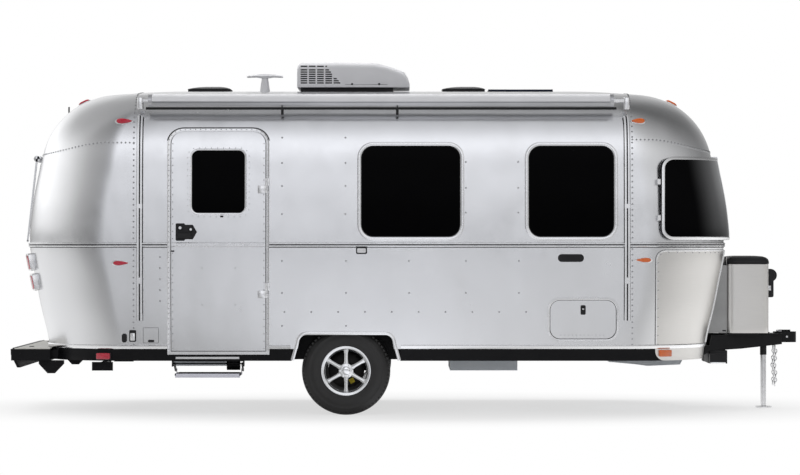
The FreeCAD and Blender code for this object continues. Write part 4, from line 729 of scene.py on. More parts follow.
LAP_PROUD, LAP, LAP_SUNK = 0.0011, 0.025, -0.0005
CAP_SEAM_SIDE, CAP_SEAM_END = 2.252, 2.158             # height of the caps' seam at the side and at the end
seams = [(arc_over(SEAM_REAR), -LAP, 0.046), (arc_over(SEAM_FRONT), LAP, 0.046)]   # path, lap, pitch of rivets
for end, seam, bend_start in ((-1, SEAM_REAR, 2.50), (1, SEAM_FRONT, 1.95)):
    ring = around(CAP_SEAM_SIDE)
    part = ring[ring[:, 0] * end > seam * end + 0.004]
    bend = np.clip((np.abs(part[:, 0]) - bend_start) / 0.62, 0, 1)
    part[:, 2] = CAP_SEAM_SIDE + (CAP_SEAM_END - CAP_SEAM_SIDE) * (3 * bend ** 2 - 2 * bend ** 3)
    part = part[::end]
    seams.append((np.vstack([part, part[:-1][::-1] * (1, -1, 1)]), -LAP, 0.034))
rivet_metal = mottled("rivet_metal", (40.0, 3.0), (0.30, 0.305, 0.32), (0.62, 0.625, 0.64), (0.2, 0.15), Metallic=1.0)
strips, rows = [], []
for path, width, pitch in seams:
    inner, outer = sorted((0.0, width))
    strips.append(moulding([path], ((inner, LAP_SUNK), (inner, LAP_PROUD), (outer, LAP_PROUD), (outer, LAP_SUNK))))
    rows.append(beside(path, width / 2, pitch, LAP_PROUD + 0.0006))
add("skin_laps", merge(*strips), polished_skin, 40, "trailer", "polished_skin")

# rows of the ribs: x of each rib, heights of its rivets
RIB_ROWS = (((-1.060, -0.540), (2.284, 2.072, 1.883, 1.653)), ((0.447, 0.876), (2.080, 1.867, 1.665)),
            ((-1.060, -0.535, -0.019, 0.447, 0.881), (1.269, 1.007)), ((-1.060, -0.535), (0.737,)),
            ((-1.040, -0.820, -0.600, -0.380, -0.160, 0.060, 0.280, 0.500, 0.720, 0.940), (0.851,)),
            ((-2.060, -2.200), (1.30, 1.21, 1.12, 1.03, 0.94)))
rows += [seat([(x, side * BESIDE, z) for x in xs for z in zs], 0.0006) for xs, zs in RIB_ROWS for side in (-1, 1)]
points, normals = (np.vstack(part) for part in zip(*rows))
rivets("skin_rivets", points, normals, (0.0080, 0.0032), "trailer", "polished_skin")

# ---------------------------------------------------------------- belt rail, rub rail and wheel-arch trims
# Extruded aluminium rails screwed over the seam at the belt and along the foot of the wall, and a
# pressed aluminium flare round each wheel arch, all satin anodised.
trim_metal, start = new_finish("bright_trim")
draw_lines, scuffs = start.noise(1.0, 2.0, (0.6, 30.0, 900.0)), start.noise(14.0, 5.0)
coat(start, start.paint(start.blend(scuffs, (0.78, 0.785, 0.80), (0.93, 0.93, 0.94)), scuffs * 0.14 + 0.20,
                        draw_lines * 0.5 + scuffs * 0.3, 0.0001, Metallic=1.0))

FRAME_BAND = 0.032
DOOR_REAR, DOOR_FRONT = DOOR[0] - FRAME_BAND - 0.0003, DOOR[1] + FRAME_BAND + 0.0003
BELT_Z, BELT_HEIGHT, BELT_PROUD = 1.402, 0.036, 0.012
RUB_Z, RUB_HEIGHT, RUB_PROUD = 0.5645, 0.033, 0.014
ARCH_BAND, ARCH_PROUD = 0.026, 0.010


def rail_runs(z, gaps):
    """The ring at a height, opened where rails stop short of doors and arches on the two sides."""
    ring = right_round(z)
    runs, current = [], []
    for point in np.array(dense([tuple(p) for p in np.vstack([ring, ring[:1]])], 0.05)):
        if any(low < point[0] < high and side * point[1] > 1.0 for low, high, side in gaps):
            if len(current) > 3:
                runs.append(current)
            current = []
        else:
            current.append(point)
    runs.append(current)
    for run in runs:                                   # square the ends exactly at their stops
        for index in (0, -1):
            for low, high, side in gaps:
                for stop in (low, high):
                    if side * run[index][1] > 1.0 and abs(run[index][0] - stop) < 0.051:
                        run[index] = np.array((stop, run[index][1], z))
    if len(runs) > 1 and np.linalg.norm(runs[0][0] - runs[-1][-1]) < 0.02:
        runs[0] = runs.pop() + runs[0][1:]
    return [np.array(run) for run in runs]


def band(half, low, high):
    """The section of a flat band: half its width, and the heights of its foot and its top."""
    return (-half, low), (-half, high), (half, high), (half, low)


door_gap = (DOOR_REAR, DOOR_FRONT, -1)
arch_reach = ARCH_FOOT_HALF + ARCH_BAND
arch_gaps = [(ARCH_MIDDLE - arch_reach, ARCH_MIDDLE + arch_reach, side) for side in (-1, 1)]
half = BELT_HEIGHT / 2
belt_section = ((-half, 0.0), (-half, 0.005), (-half + 0.005, BELT_PROUD), (-0.006, BELT_PROUD), (-0.003, 0.0075),
                (0.003, 0.0075), (0.006, BELT_PROUD), (half - 0.005, BELT_PROUD), (half, 0.005), (half, 0.0))
add("belt_rail", moulding(rail_runs(BELT_Z, (door_gap,)), belt_section), trim_metal, 35, "trailer", "bright_trim",
    "body_rails")
rub_half = RUB_HEIGHT / 2
rub_section = ((-rub_half, 0.0), (-rub_half, 0.009), (-rub_half + 0.004, RUB_PROUD), (0.002, RUB_PROUD),
               (0.009, 0.011), (rub_half, 0.003), (rub_half, 0.0))
add("rub_rail", moulding(rail_runs(RUB_Z, (door_gap, *arch_gaps)), rub_section), trim_metal, 35, "trailer",
    "bright_trim")
vinyl_and_shade = mottled("rail_vinyl_and_shade", (90.0, 3.0), (0.030, 0.030, 0.034), (0.075, 0.075, 0.080), (0.2, 0.45))
# the strip is the rail's vinyl insert; the thin black line just under the rail is painted shade below it
strip = moulding(rail_runs(BELT_Z, (door_gap,)), band(0.0045, 0.0068, 0.0092))
belt_shade_line = moulding(rail_runs(BELT_Z - half - 0.003, (door_gap,)),
                ((-0.0035, 0.0), (-0.0035, 0.0035), (0.0030, 0.0035), (0.0030, 0.0)))
add("belt_vinyl", merge(strip, belt_shade_line), vinyl_and_shade, 35, "trailer", "black_plastic")
flare_section = ((0.0, -0.03), (0.0, ARCH_PROUD - 0.002), (0.003, ARCH_PROUD), (ARCH_BAND - 0.006, ARCH_PROUD),
                 (ARCH_BAND, 0.006), (ARCH_BAND, 0.0), (0.004, 0.0), (0.004, -0.03))
flares = [side_path(arch(0.0, SKIRT_FOOT + 0.001), side, 0.04)[::-side] for side in (-1, 1)]
add("arch_flares", moulding(flares, flare_section), trim_metal, 35, "trailer", "bright_trim", "wheel_arch_trims")

# ---------------------------------------------------------------- windows
# Dark tinted panes that stand nearly flush in pressed aluminium frames with round corners. The frame
# laps 26 mm over the wall and 4 mm over the glass, with a black rubber glazing bead between them.
FRAME_PROUD, FRAME_LIP, PANE_FIT, PANE_SET, PANE_THICK = 0.008, 0.004, 0.0003, 0.002, 0.006
tinted_glass = mottled("window_glass", (6.0, 4.0), (0.0006, 0.0006, 0.0008), (0.0014, 0.0014, 0.0016), (0.08, 0.04),
                       Specular_IOR_Level=0.02)
# black rubber of the beads and seals; the same finish colours the black strips that are painted shade
black_rubber_and_shade = mottled("glazing_rubber_and_shade_strips", (160.0, 3.0), (0.010, 0.010, 0.011), (0.030, 0.030, 0.032), (0.2, 0.55),
                      (160.0, 3.0), 0.0003, Specular_IOR_Level=0.2)


def framing(shape, side):
    """A closed path round an opening of one side, turned so that its across direction points outward."""
    points = rounded(*shape)
    return side_path(points + points[:1], side, 0.06)[:-1][::-side]


points = rounded(*END_WINDOW)
end_frame = np.array([(REAR_TIP + 0.05, y, z) for y, z in dense(points + points[:1], 0.06)][:-1])[::-1]
frame_section = ((-FRAME_LIP, 0.0004), (-FRAME_LIP, 0.005), (0.0, FRAME_PROUD), (0.018, FRAME_PROUD),
                 (0.024, 0.006), (0.026, 0.002), (0.026, 0.0004))
bead_section = ((-0.011, -PANE_SET), (-0.011, 0.001), (-0.008, 0.003), (-FRAME_LIP, 0.003), (-FRAME_LIP, -PANE_SET))
paths = [framing(shape, side) for shape in SIDE_WINDOWS for side in (-1, 1)] + [end_frame]
add("window_frames", moulding(paths, frame_section, closed=True), trim_metal, 40, "trailer", "bright_trim",
    "opening_frames")
add("window_beads", moulding(paths, bead_section, closed=True), black_rubber_and_shade, 40, "trailer", "black_plastic")
glass = [prism(rounded(*grown(shape, -PANE_FIT)), *reach_of(side, 0.6)) for shape in SIDE_WINDOWS for side in (-1, 1)]
glass += [across_prism(grown(END_WINDOW, -PANE_FIT), *end) for end in (REAR_END, FRONT_END)]
glass += [prism(rounded(*grown(WING_WINDOW, -PANE_FIT)), *reach_of(side, WING_INNER)) for side in (-1, 1)]
everywhere = cut(glass[0], *[("UNION", more) for more in glass[1:]])
panes = shell(-PANE_SET, -PANE_SET - PANE_THICK, ("INTERSECT", everywhere))
settle(follow_skin(panes, "window_glazing", tinted_glass), "trailer", "window_glass", "window_panes")

# ---------------------------------------------------------------- entrance door and its frame
# A 40 mm door leaf of riveted aluminium sheet over a frame, hung on two barrel hinges. A sheet collar
# is riveted round its dark pane, and a black lock housing with a paddle handle sits by its rear edge.
LEAF, PLATE_HEIGHT = 0.040, 0.0022
DOOR_PANE = (-1.805, -1.358, 1.656, 2.182, 0.060)
COLLAR = (-1.846, -1.317, 1.618, 2.208, 0.085)
HINGE_Z, HINGE_TALL, PIN_X, PIN_Y = (0.966, 1.826), 0.060, -1.190, -1.237
RIGHT_SIDE = (-1.5, -0.6)                              # y reach of the cutters of things on the right side


def land(points, axis):
    """Slide points along an axis, from outside toward the middle of the body, until they meet the skin."""
    far = np.array(points, float)
    near = far.copy()
    near[:, axis] = (-0.3, 0.0, 1.0)[axis]
    for turn in range(28):
        middle = (far + near) / 2
        out = outside(middle) > 0
        far[out], near[~out] = middle[out], middle[~out]
    return (far + near) / 2


def slab(low, high, edge=0.0, steps=2):
    """A block between two corners, its edges eased by a small radius."""
    bm = block(np.minimum(low, high), np.maximum(low, high))
    if edge:
        bmesh.ops.bevel(bm, geom=bm.edges[:], offset=edge, segments=steps, profile=0.5, affect="EDGES",
                        clamp_overlap=True)
    return bm


def rod(start, stop, radius, sides=20, edge=0.0, tip=None):
    """A round bar between two points, eased at its ends; a second radius makes it a cone."""
    start, stop = Vector(start), Vector(stop)
    bm = bmesh.new()
    bmesh.ops.create_cone(bm, cap_ends=True, segments=sides, radius1=radius, radius2=radius if tip is None else tip,
                          depth=(stop - start).length)
    if edge:
        rims = [e for e in bm.edges if abs(e.verts[0].co.z - e.verts[1].co.z) < 1e-6]
        bmesh.ops.bevel(bm, geom=rims, offset=edge, segments=2, profile=0.5, affect="EDGES")
    turn = (stop - start).to_track_quat("Z", "Y").to_matrix().to_4x4()
    turn.translation = (start + stop) / 2
    bmesh.ops.transform(bm, matrix=turn, verts=bm.verts)
    return bm


def pillow(outline, profile, axis=1, side=-1):
    """A cap that sits on the skin: the outline drawn in by a share at each height above it."""
    outline = np.array(outline, float)
    centre = (outline.max(axis=0) + outline.min(axis=0)) / 2
    sections = []
    for share, height in profile:
        guess = np.insert(centre + (outline - centre) * share, axis, side * (3.6, 1.5, 3.0)[axis], axis=1)
        points, normals = seat(land(guess, axis))
        sections.append(points + normals * height)
    return loft(sections)


# black moulded plastic; the same finish colours the black sheets and discs that are painted shade
black_moulding_and_shade = mottled("black_moulding_and_shade", (9.0, 5.0), (0.010, 0.010, 0.011), (0.026, 0.026, 0.028), (0.25, 0.30),
                        (420.0, 3.0), 0.0004, Specular_IOR_Level=0.2)
leaf = cut(hull(), ("INTERSECT", prism(doorway(), *RIGHT_SIDE)), ("DIFFERENCE", hull(-LEAF)),
           ("DIFFERENCE", prism(rounded(*DOOR_PANE), *RIGHT_SIDE)))
settle(follow_skin(leaf, "door_leaf", polished_skin), "door", "polished_skin", "entrance_door")
collar = cut(hull(PLATE_HEIGHT), ("INTERSECT", prism(rounded(*COLLAR), *RIGHT_SIDE)), ("DIFFERENCE", hull(-0.002)),
             ("DIFFERENCE", prism(rounded(*grown(DOOR_PANE, 0.006)), *RIGHT_SIDE)))
settle(follow_skin(collar, "door_collar", polished_skin), "door", "polished_skin")
pane = shell(-PANE_SET, -PANE_SET - PANE_THICK,
             ("INTERSECT", prism(rounded(*grown(DOOR_PANE, -PANE_FIT)), *RIGHT_SIDE)))
settle(follow_skin(pane, "door_pane", tinted_glass), "door", "window_glass", "door_window")
bead_section = ((-0.006, -0.002), (-0.006, 0.004), (-0.002, 0.0065), (0.006, 0.0065), (0.009, 0.003), (0.009, 0.0))
add("door_pane_bead", moulding([framing(DOOR_PANE, -1)], bead_section, closed=True), trim_metal, 40, "door",
    "bright_trim")
belt_line = side_path([(DOOR[0] + 0.004, BELT_Z), (DOOR[1] - 0.004, BELT_Z)])
add("door_belt_strip", moulding([belt_line], belt_section), trim_metal, 35, "door", "bright_trim")
rear, front, foot, head = COLLAR[0] + 0.012, COLLAR[1] - 0.012, COLLAR[2] + 0.012, COLLAR[3] - 0.012
collar_line = [(x, z, 0) for x, z in rounded(rear, front, foot, head, 0.073) + [(COLLAR[1] - 0.085, foot)]]
points = [(x, z) for x, z in stepped(collar_line, 0.049)[:, :2]]
points += [(x, z) for x in (-1.715, -1.444) for z in (1.212, 0.909)]
points += [(x, z) for x in (DOOR[0] + 0.012, DOOR[1] - 0.012)
           for z in np.arange(DOOR[2] + 0.02, DOOR[3] - 0.10, 0.060) if abs(z - BELT_Z) > 0.03]
rivets("door_rivets", *seat([(x, -BESIDE, z) for x, z in points], PLATE_HEIGHT * 0.6), (0.0050, 0.0026), "door",
       "polished_skin")

# frame on the wall, sill and drip gutter
band_section = ((GAP, 0.0004), (GAP, FRAME_PROUD - 0.001), (GAP + 0.002, FRAME_PROUD), (0.012, FRAME_PROUD),
                (0.014, 0.0045), (0.028, 0.0045), (0.030, 0.006), (0.032, 0.004), (0.032, 0.0004))
SILL_FOOT, GUTTER_FOOT = 0.502, 2.236
line = doorway()
line = [(line[0][0], SILL_FOOT + 0.0005)] + line[1:-1] + [(line[-1][0], SILL_FOOT + 0.0005)]
frame_path = side_path(line, -1, 0.06)
sill_corners = (DOOR[0] - FRAME_BAND, -1.5, SILL_FOOT), (DOOR[1] + FRAME_BAND, -0.6, DOOR[2] - GAP)
sill = shell(FRAME_PROUD, -0.004, ("INTERSECT", block(*sill_corners)))
settle(follow_skin(sill, "door_sill", trim_metal), "trailer", "bright_trim")
# the drip gutter over the door's head is real; its black finish is painted shade along it
gutter = side_path([point for point in line if point[1] > GUTTER_FOOT], -1, 0.06)
add("drip_gutter",
    moulding([gutter], ((0.030, 0.0005), (0.030, 0.008), (0.034, 0.010), (0.039, 0.008), (0.039, 0.0005))),
    black_rubber_and_shade, 40, "trailer", "black_plastic")
add("door_frame", moulding([frame_path], band_section), trim_metal, 40, "trailer", "bright_trim")
rivets("door_frame_rivets", *beside(frame_path, 0.021, 0.042, 0.0045), (0.0045, 0.0022), "trailer", "bright_trim")

# hinges: the lower knuckle of each is on the door, the upper one on the frame
for body, name, rear, front, lift in (("door", "door_hinge_leaves", -1.258, -1.194, 0.0),
                                      ("trailer", "frame_hinge_leaves", -1.184, -1.162, HINGE_TALL + 0.0003)):
    parts, spots = [], []
    for foot in [low + lift for low in HINGE_Z]:
        head = foot + HINGE_TALL
        parts += [slab((rear, PIN_Y, foot), (front, PIN_Y + 0.019, head), 0.002),
                  rod((PIN_X, PIN_Y, foot), (PIN_X, PIN_Y, head), 0.008, 20, 0.001),
                  slab((min(rear, PIN_X), PIN_Y + 0.002, foot + 0.001),
                       (max(rear, PIN_X), PIN_Y + 0.008, head - 0.001), 0.001)]
        spots += [((rear + front) / 2 + (0 if lift else -0.012), PIN_Y - 0.0004, foot + HINGE_TALL * share)
                  for share in (0.2, 0.5, 0.8)]
    add(name, merge(*parts), trim_metal, 35, body, "bright_trim")
    rivets(name + "_screws", spots, [(0, -1, 0)] * len(spots), (0.0055, 0.0025), body, "bright_trim", trim_metal)

# lock housing: a plate with a pointed front half, a paddle across it and two round locks
housing = [(-1.756, 1.5065), (-1.790, 1.566), (-1.852, 1.566), (-1.856, 1.572), (-1.862, 1.578), (-1.924, 1.578),
           (-1.931, 1.570), (-1.931, 1.443), (-1.924, 1.435), (-1.862, 1.435), (-1.856, 1.441), (-1.852, 1.447),
           (-1.790, 1.447)]
plate = pillow(housing, ((1.0, 0.0004), (1.0, 0.006), (0.97, 0.0088)))
paddle = slab((-1.918, -1.2515, 1.456), (-1.800, -1.2265, 1.500), 0.007, 3)
LOCKS = ((-1.893, 1.541, 0.020, 0.012), (-1.806, 1.528, 0.017, 0.010))    # x, z, radius of boss and of face
bosses = [rod((x, -1.226, z), (x, -1.238, z), boss, 28, 0.002) for x, z, boss, face in LOCKS]
add("lock_housing", merge(plate, paddle, *bosses), black_moulding_and_shade, 35, "door", "black_plastic", "door_handle")
faces = merge(*[rod((x, -1.2378, z), (x, -1.2398, z), face, 24, 0.0006) for x, z, boss, face in LOCKS])
faces = cut(faces, ("DIFFERENCE", block((-1.8945, -1.245, 1.534), (-1.8915, -1.239, 1.548))))
settle(named(faces, "lock_faces", trim_metal), "door", "bright_trim")
clips = (slab((-1.566, -1.226, 1.627), (-1.540, -1.2130, 1.641), 0.002),
         slab((-1.967, -1.224, 1.344), (-1.941, -1.2195, 1.356), 0.002))
add("door_clips", merge(*clips), black_moulding_and_shade, 35, "door", "black_plastic")

# ---------------------------------------------------------------- storage hatch
# A small locker door cut from the same sheet, in a pressed aluminium frame, that folds down on a hinge
# along its foot and is held by one black slam latch.
leaf = shell(0.0, -LEAF, ("INTERSECT", prism(rounded(*HATCH), *RIGHT_SIDE)))
settle(follow_skin(leaf, "hatch_leaf", polished_skin), "hatch", "polished_skin", "storage_hatch")
path = framing(HATCH, -1)
hatch_section = ((GAP, 0.0004), (GAP, 0.0055), (GAP + 0.003, FRAME_PROUD), (0.013, FRAME_PROUD), (0.016, 0.0045),
                 (0.024, 0.0045), (0.026, 0.002), (0.026, 0.0004))
seal_section = ((0.0005, -0.012), (0.0005, -0.001), (GAP - 0.0005, -0.001), (GAP - 0.0005, -0.012))
add("hatch_frame", moulding([path], hatch_section, closed=True), trim_metal, 40, "trailer", "bright_trim")
add("hatch_seal", moulding([path], seal_section, closed=True), black_rubber_and_shade, 40, "trailer", "black_plastic")
rivets("hatch_rivets", *seat([(x, -BESIDE, 0.662) for x in np.arange(1.225, 1.60, 0.032)]), (0.0040, 0.0018), "hatch",
       "polished_skin")
LATCH_X, LOCK_Z = 1.4075, 0.879
latch_shape = rounded(LATCH_X - 0.021, LATCH_X + 0.021, 0.829, 0.907, 0.010)
add("hatch_latch", pillow(latch_shape, ((1, 0.0), (1, 0.008), (0.9, 0.0118))), black_moulding_and_shade, 35, "hatch",
    "black_plastic")
face_y = float(land([(LATCH_X, -1.5, LOCK_Z)], 1)[0, 1])
button = rod((LATCH_X, face_y - 0.010, LOCK_Z), (LATCH_X, face_y - 0.0118, LOCK_Z), 0.009, 24, 0.0006)
add("hatch_lock", button, trim_metal, 35, "hatch", "bright_trim")

# ---------------------------------------------------------------- tinted guards over the front windows
# Three smoke-tinted polycarbonate sheets stand 46 mm off the front windows. Each is edged by a pale
# aluminium channel; the two wings swing out on the brackets behind them and the middle one lifts.
GUARD_OFF, GUARD_SKIN, GUARD_REAR, GUARD_SEAM, GUARD_GAP = 0.046, 0.006, 2.040, 0.560, 0.008
GUARD_FOOT, GUARD_HEAD, GUARD_CORNER = 1.443, 2.120, 0.095
AHEAD, ASIDE = 3.6, 1.5                                # where lines laid on the front and the sides start from
smoke_sheet, start = new_finish("smoke_sheet")
haze = start.noise(3.0, 3.0)
dark = start.paint(start.blend(haze, (0.0008, 0.0008, 0.001), (0.002, 0.002, 0.0024)), haze * 0.06 + 0.05,
                   Specular_IOR_Level=0.03)
shine = start.node("ShaderNodeBsdfGlossy", None, {"Color": (0.92, 0.93, 0.95), "Roughness": 0.12})
edge_on = start.rise(start.node("ShaderNodeLayerWeight", None, {"Blend": 0.5}, out=1), 0.24, 0.98, 0.0, 0.92)
coat(start, start.node("ShaderNodeMixShader", None, {0: edge_on, 1: dark, 2: shine}))


def guard_line(side, seam):
    """The edge of one wing of the guard as a closed path: foot, seam, head and rear."""
    low, high, rear, radius = GUARD_FOOT, GUARD_HEAD, GUARD_REAR, GUARD_CORNER

    def level_run(z):
        ring = around(z) * (1, -side, 1)
        ring = ring[(ring[:, 0] > rear + radius + 0.01) & (np.abs(ring[:, 1]) > seam + 0.02)]
        return np.vstack([land([(rear + radius, side * ASIDE, z)], 1), ring, land([(AHEAD, side * seam, z)], 0)])

    seam_run = land([(AHEAD, side * seam, z) for z in np.linspace(low, high, 12)[1:-1]], 0)
    turns = np.linspace(0, math.pi / 2, 8)
    arc = [(rear + radius - radius * math.sin(turn), high - radius + radius * math.cos(turn)) for turn in turns[1:]]
    arc += [(rear, z) for z in np.linspace(high - radius, low + radius, 9)[1:-1]]
    arc += [(rear + radius - radius * math.cos(turn), low + radius - radius * math.sin(turn)) for turn in turns[:-1]]
    rear_run = land([(x, side * ASIDE, z) for x, z in arc], 1)
    return np.vstack([level_run(low), seam_run, level_run(high)[::-1], rear_run])[::-side]


edge_section = ((-0.024, GUARD_OFF + 0.0002), (-0.023, GUARD_OFF + 0.003), (-0.004, GUARD_OFF + 0.003),
                (0.0, GUARD_OFF), (0.0, GUARD_OFF - GUARD_SKIN - 0.002), (-0.024, GUARD_OFF - GUARD_SKIN - 0.002))
hood = loose(prism(rounded(GUARD_REAR, GUARD_REAR + 2.0, GUARD_FOOT, GUARD_HEAD, GUARD_CORNER), -1.5, 1.5))
for side, label in ((-1, "right"), (1, "left"), (0, "center")):
    low, high = reach_of(side, GUARD_SEAM + GUARD_GAP, 1.6) if side else (-GUARD_SEAM, GUARD_SEAM)
    part = cut(block((1.9, low, 1.2), (3.6, high, 2.4)), ("INTERSECT", hood.copy()))
    sheet = shell(GUARD_OFF, GUARD_OFF - GUARD_SKIN, ("INTERSECT", part))
    settle(follow_skin(sheet, "guard_sheet_" + label, smoke_sheet), "guard_" + label, "guard_glass",
           "rock_guard_" + label)
    if side:
        path = guard_line(side, GUARD_SEAM + GUARD_GAP)
    else:
        across, up = np.linspace(-GUARD_SEAM, GUARD_SEAM, 15), np.linspace(GUARD_FOOT, GUARD_HEAD, 10)[1:-1]
        path = land([(AHEAD, y, GUARD_FOOT) for y in across] + [(AHEAD, GUARD_SEAM, z) for z in up]
                    + [(AHEAD, y, GUARD_HEAD) for y in across[::-1]] + [(AHEAD, -GUARD_SEAM, z) for z in up[::-1]], 0)
    add("guard_edge_" + label, moulding([path], edge_section, closed=True), trim_metal, 40, "guard_" + label,
        "bright_trim")
for thing in [o for o in bpy.data.objects if o.name.startswith("loose")]:
    bpy.data.objects.remove(thing)

# ---------------------------------------------------------------- stainless corner guards
# Thin stainless sheets wrapped round the lower front corners against stones, with a folded edge and
# a row of screws just inside it.
stainless_sheet, start = new_finish("stainless_sheet")
lines, cloud = start.noise(2.0, 4.0, (4.0, 4.0, 420.0)), start.noise(2.2, 3.0)
coat(start, start.paint(start.blend(lines * 0.5 + cloud * 0.5, (0.60, 0.59, 0.575), (0.80, 0.785, 0.76)),
                        lines * 0.12 + cloud * 0.10 + 0.24, lines * 0.3 + cloud, 0.0010, Metallic=1.0))
SHEET_REAR, SHEET_TOP, SHEET_INNER, SHEET_CORNER, SHEET_THICK = 2.003, 1.359, 0.480, 0.080, 0.003
SHEET_FOOT = WALL_FOOT + 0.035
hem_section = ((0.0, 0.0005), (0.0, 0.0058), (0.009, 0.0058), (0.012, 0.003), (0.012, 0.0005))
edge_shade_section = ((-0.0032, 0.0), (-0.0032, 0.0048), (-0.0002, 0.0048), (-0.0002, 0.0))
post_section = ((-0.004, 0.001), (-0.006, 0.013), (0.006, 0.016), (0.022, 0.016), (0.026, 0.001))
for side, label in ((-1, "right"), (1, "left")):
    shape = rounded(SHEET_REAR, 3.2, SKIRT_FOOT, SHEET_TOP, SHEET_CORNER)
    rub_rail = block((1.9, -1.6, WALL_FOOT - 0.0003), (3.2, 1.6, WALL_FOOT + 0.0333))
    sheet = cut(hull(SHEET_THICK), ("INTERSECT", prism(shape, *reach_of(side, SHEET_INNER, 1.5))),
                ("DIFFERENCE", hull(SNUG)), ("DIFFERENCE", rub_rail))
    settle(follow_skin(sheet, "corner_sheet_" + label, stainless_sheet), "trailer", "stainless",
           *["corner_guards"] * (side < 0))
    ring = around(SHEET_TOP) * (1, -side, 1)
    ring = ring[(ring[:, 0] > SHEET_REAR + 0.09) & (np.abs(ring[:, 1]) > SHEET_INNER + 0.01)]
    rear_line = [(SHEET_REAR, z) for z in np.linspace(SHEET_FOOT, SHEET_TOP - 0.09, 12)]
    rear_line += [(SHEET_REAR + SHEET_CORNER - SHEET_CORNER * math.cos(turn),
                   SHEET_TOP - SHEET_CORNER + SHEET_CORNER * math.sin(turn))
                  for turn in np.linspace(0, math.pi / 2, 7)]
    front_line = land([(AHEAD, side * SHEET_INNER, z) for z in np.linspace(SHEET_TOP, SHEET_FOOT, 14)], 0)
    path = np.vstack([land([(x, side * ASIDE, z) for x, z in rear_line], 1), ring, front_line])[::-side]
    # the black line on the skin just outside the sheet's edge is painted shade cast by the edge
    for name, line, section, material, slot in (("hem", path, hem_section, trim_metal, "bright_trim"),
                                                ("edge", path, edge_shade_section, black_rubber_and_shade, "black_plastic"),
                                                ("rail", front_line[::-side], post_section, trim_metal,
                                                 "bright_trim")):
        add(f"corner_sheet_{name}_{label}", moulding([line], section), material, 40, "trailer", slot)
    rivets("corner_sheet_screws_" + label, *beside(path, 0.022, 0.075, SHEET_THICK), (0.0055, 0.0024), "trailer",
           "stainless")

# ---------------------------------------------------------------- lamps and small fittings
# Teardrop marker lamps with ribbed lenses in chromed shoes, square tail lamps in bezels on the rear
# corners, a porch light, and the flaps and outlets of the services.


def lens_finish(name, deep, bright):
    material, start = new_finish(name)
    ribs = start.node("ShaderNodeTexWave", {"bands_direction": "X"}, {
        "Vector": start.place(), "Scale": 42.0, "Distortion": 0.3})
    tone = start.blend(ribs, deep, bright)
    coat(start, start.paint(tone, ribs * 0.05 + 0.10, ribs, 0.0008, Coat_Weight=ribs * 0.3 + 0.6,
                            Emission_Color=tone, Emission_Strength=0.06))
    return material


red_lens = lens_finish("red_lens", (0.24, 0.002, 0.012), (0.66, 0.008, 0.045))
amber_lens = lens_finish("amber_lens", (0.46, 0.060, 0.006), (0.92, 0.20, 0.018))


def teardrop(x0, x1, z0, z1, blunt):
    """A long drop, round at one end and drawn out to a point at the other."""
    points = []
    for turn in np.linspace(0, 2 * math.pi, 29)[:-1]:
        along = (1 - math.cos(turn)) / 2
        wide = (z1 - z0) / 2 * math.sin(turn) * (1 - 0.62 * along)
        points.append(((x0 if blunt < 0 else x1) - blunt * along * (x1 - x0), (z0 + z1) / 2 + blunt * wide))
    return points


shoes, reds, ambers, bezels = [], [], [], []
for side in (-1, 1):
    for lenses, *drop in ((reds, -2.435, -2.284, 2.384, 2.446, -1), (reds, -2.455, -2.304, 1.222, 1.283, -1),
                          (ambers, 1.797, 1.929, 2.387, 2.446, 1), (ambers, 1.829, 1.975, 1.246, 1.308, 1)):
        drop = teardrop(*drop)
        shoes.append(pillow(drop, ((1.0, 0.0005), (1.0, 0.005), (0.93, 0.0075)), 1, side))
        lenses.append(pillow(drop, ((0.84, 0.004), (0.82, 0.014), (0.68, 0.019), (0.3, 0.0198)), 1, side))
    flat = rounded(-2.590, -2.461, 0.460, 0.518, 0.010, 3)
    bezels.append(pillow(flat, ((1.0, 0.0004), (1.0, 0.008), (0.96, 0.010)), 1, side))
    reds.append(pillow(flat, ((0.86, 0.006), (0.86, 0.017), (0.80, 0.0195)), 1, side))
    flat = rounded(2.033, 2.134, 0.484, 0.539, 0.008, 3)
    ambers.append(pillow(flat, ((1.0, 0.0034), (1.0, 0.019), (0.94, 0.022)), 1, side))
    for z0, z1 in ((1.025, 1.166), (1.191, 1.333)):
        flat = rounded(*reach_of(side, 0.650, 0.760), z0, z1, 0.014, 3)
        shoes.append(pillow(flat, ((1.0, 0.0004), (1.0, 0.038), (0.95, 0.0435), (0.84, 0.0440)), 0, -1))
        reds.append(pillow(flat, ((0.82, 0.030), (0.82, 0.0455), (0.76, 0.0475)), 0, -1))
for y in (-0.42, 0.0, 0.42):
    for x0, lenses in ((-2.817, reds), (2.150, ambers)):
        drop = rounded(x0, x0 + 0.104, y - 0.038, y + 0.038, 0.030, 4)
        shoes.append(pillow(drop, ((1.0, 0.0005), (1.0, 0.006), (0.94, 0.008)), 2, 1))
        lenses.append(pillow(drop, ((0.84, 0.005), (0.80, 0.016), (0.6, 0.0215)), 2, 1))
add("lamp_shoes", merge(*shoes), trim_metal, 50, "trailer", "bright_trim")
add("lamp_bezels", merge(*bezels), black_moulding_and_shade, 50, "trailer", "black_plastic")
add("red_lenses", merge(*reds), red_lens, 50, "trailer", "red_lens", "red_lamps")
add("amber_lenses", merge(*ambers), amber_lens, 50, "trailer", "amber_lens", "amber_lamps")

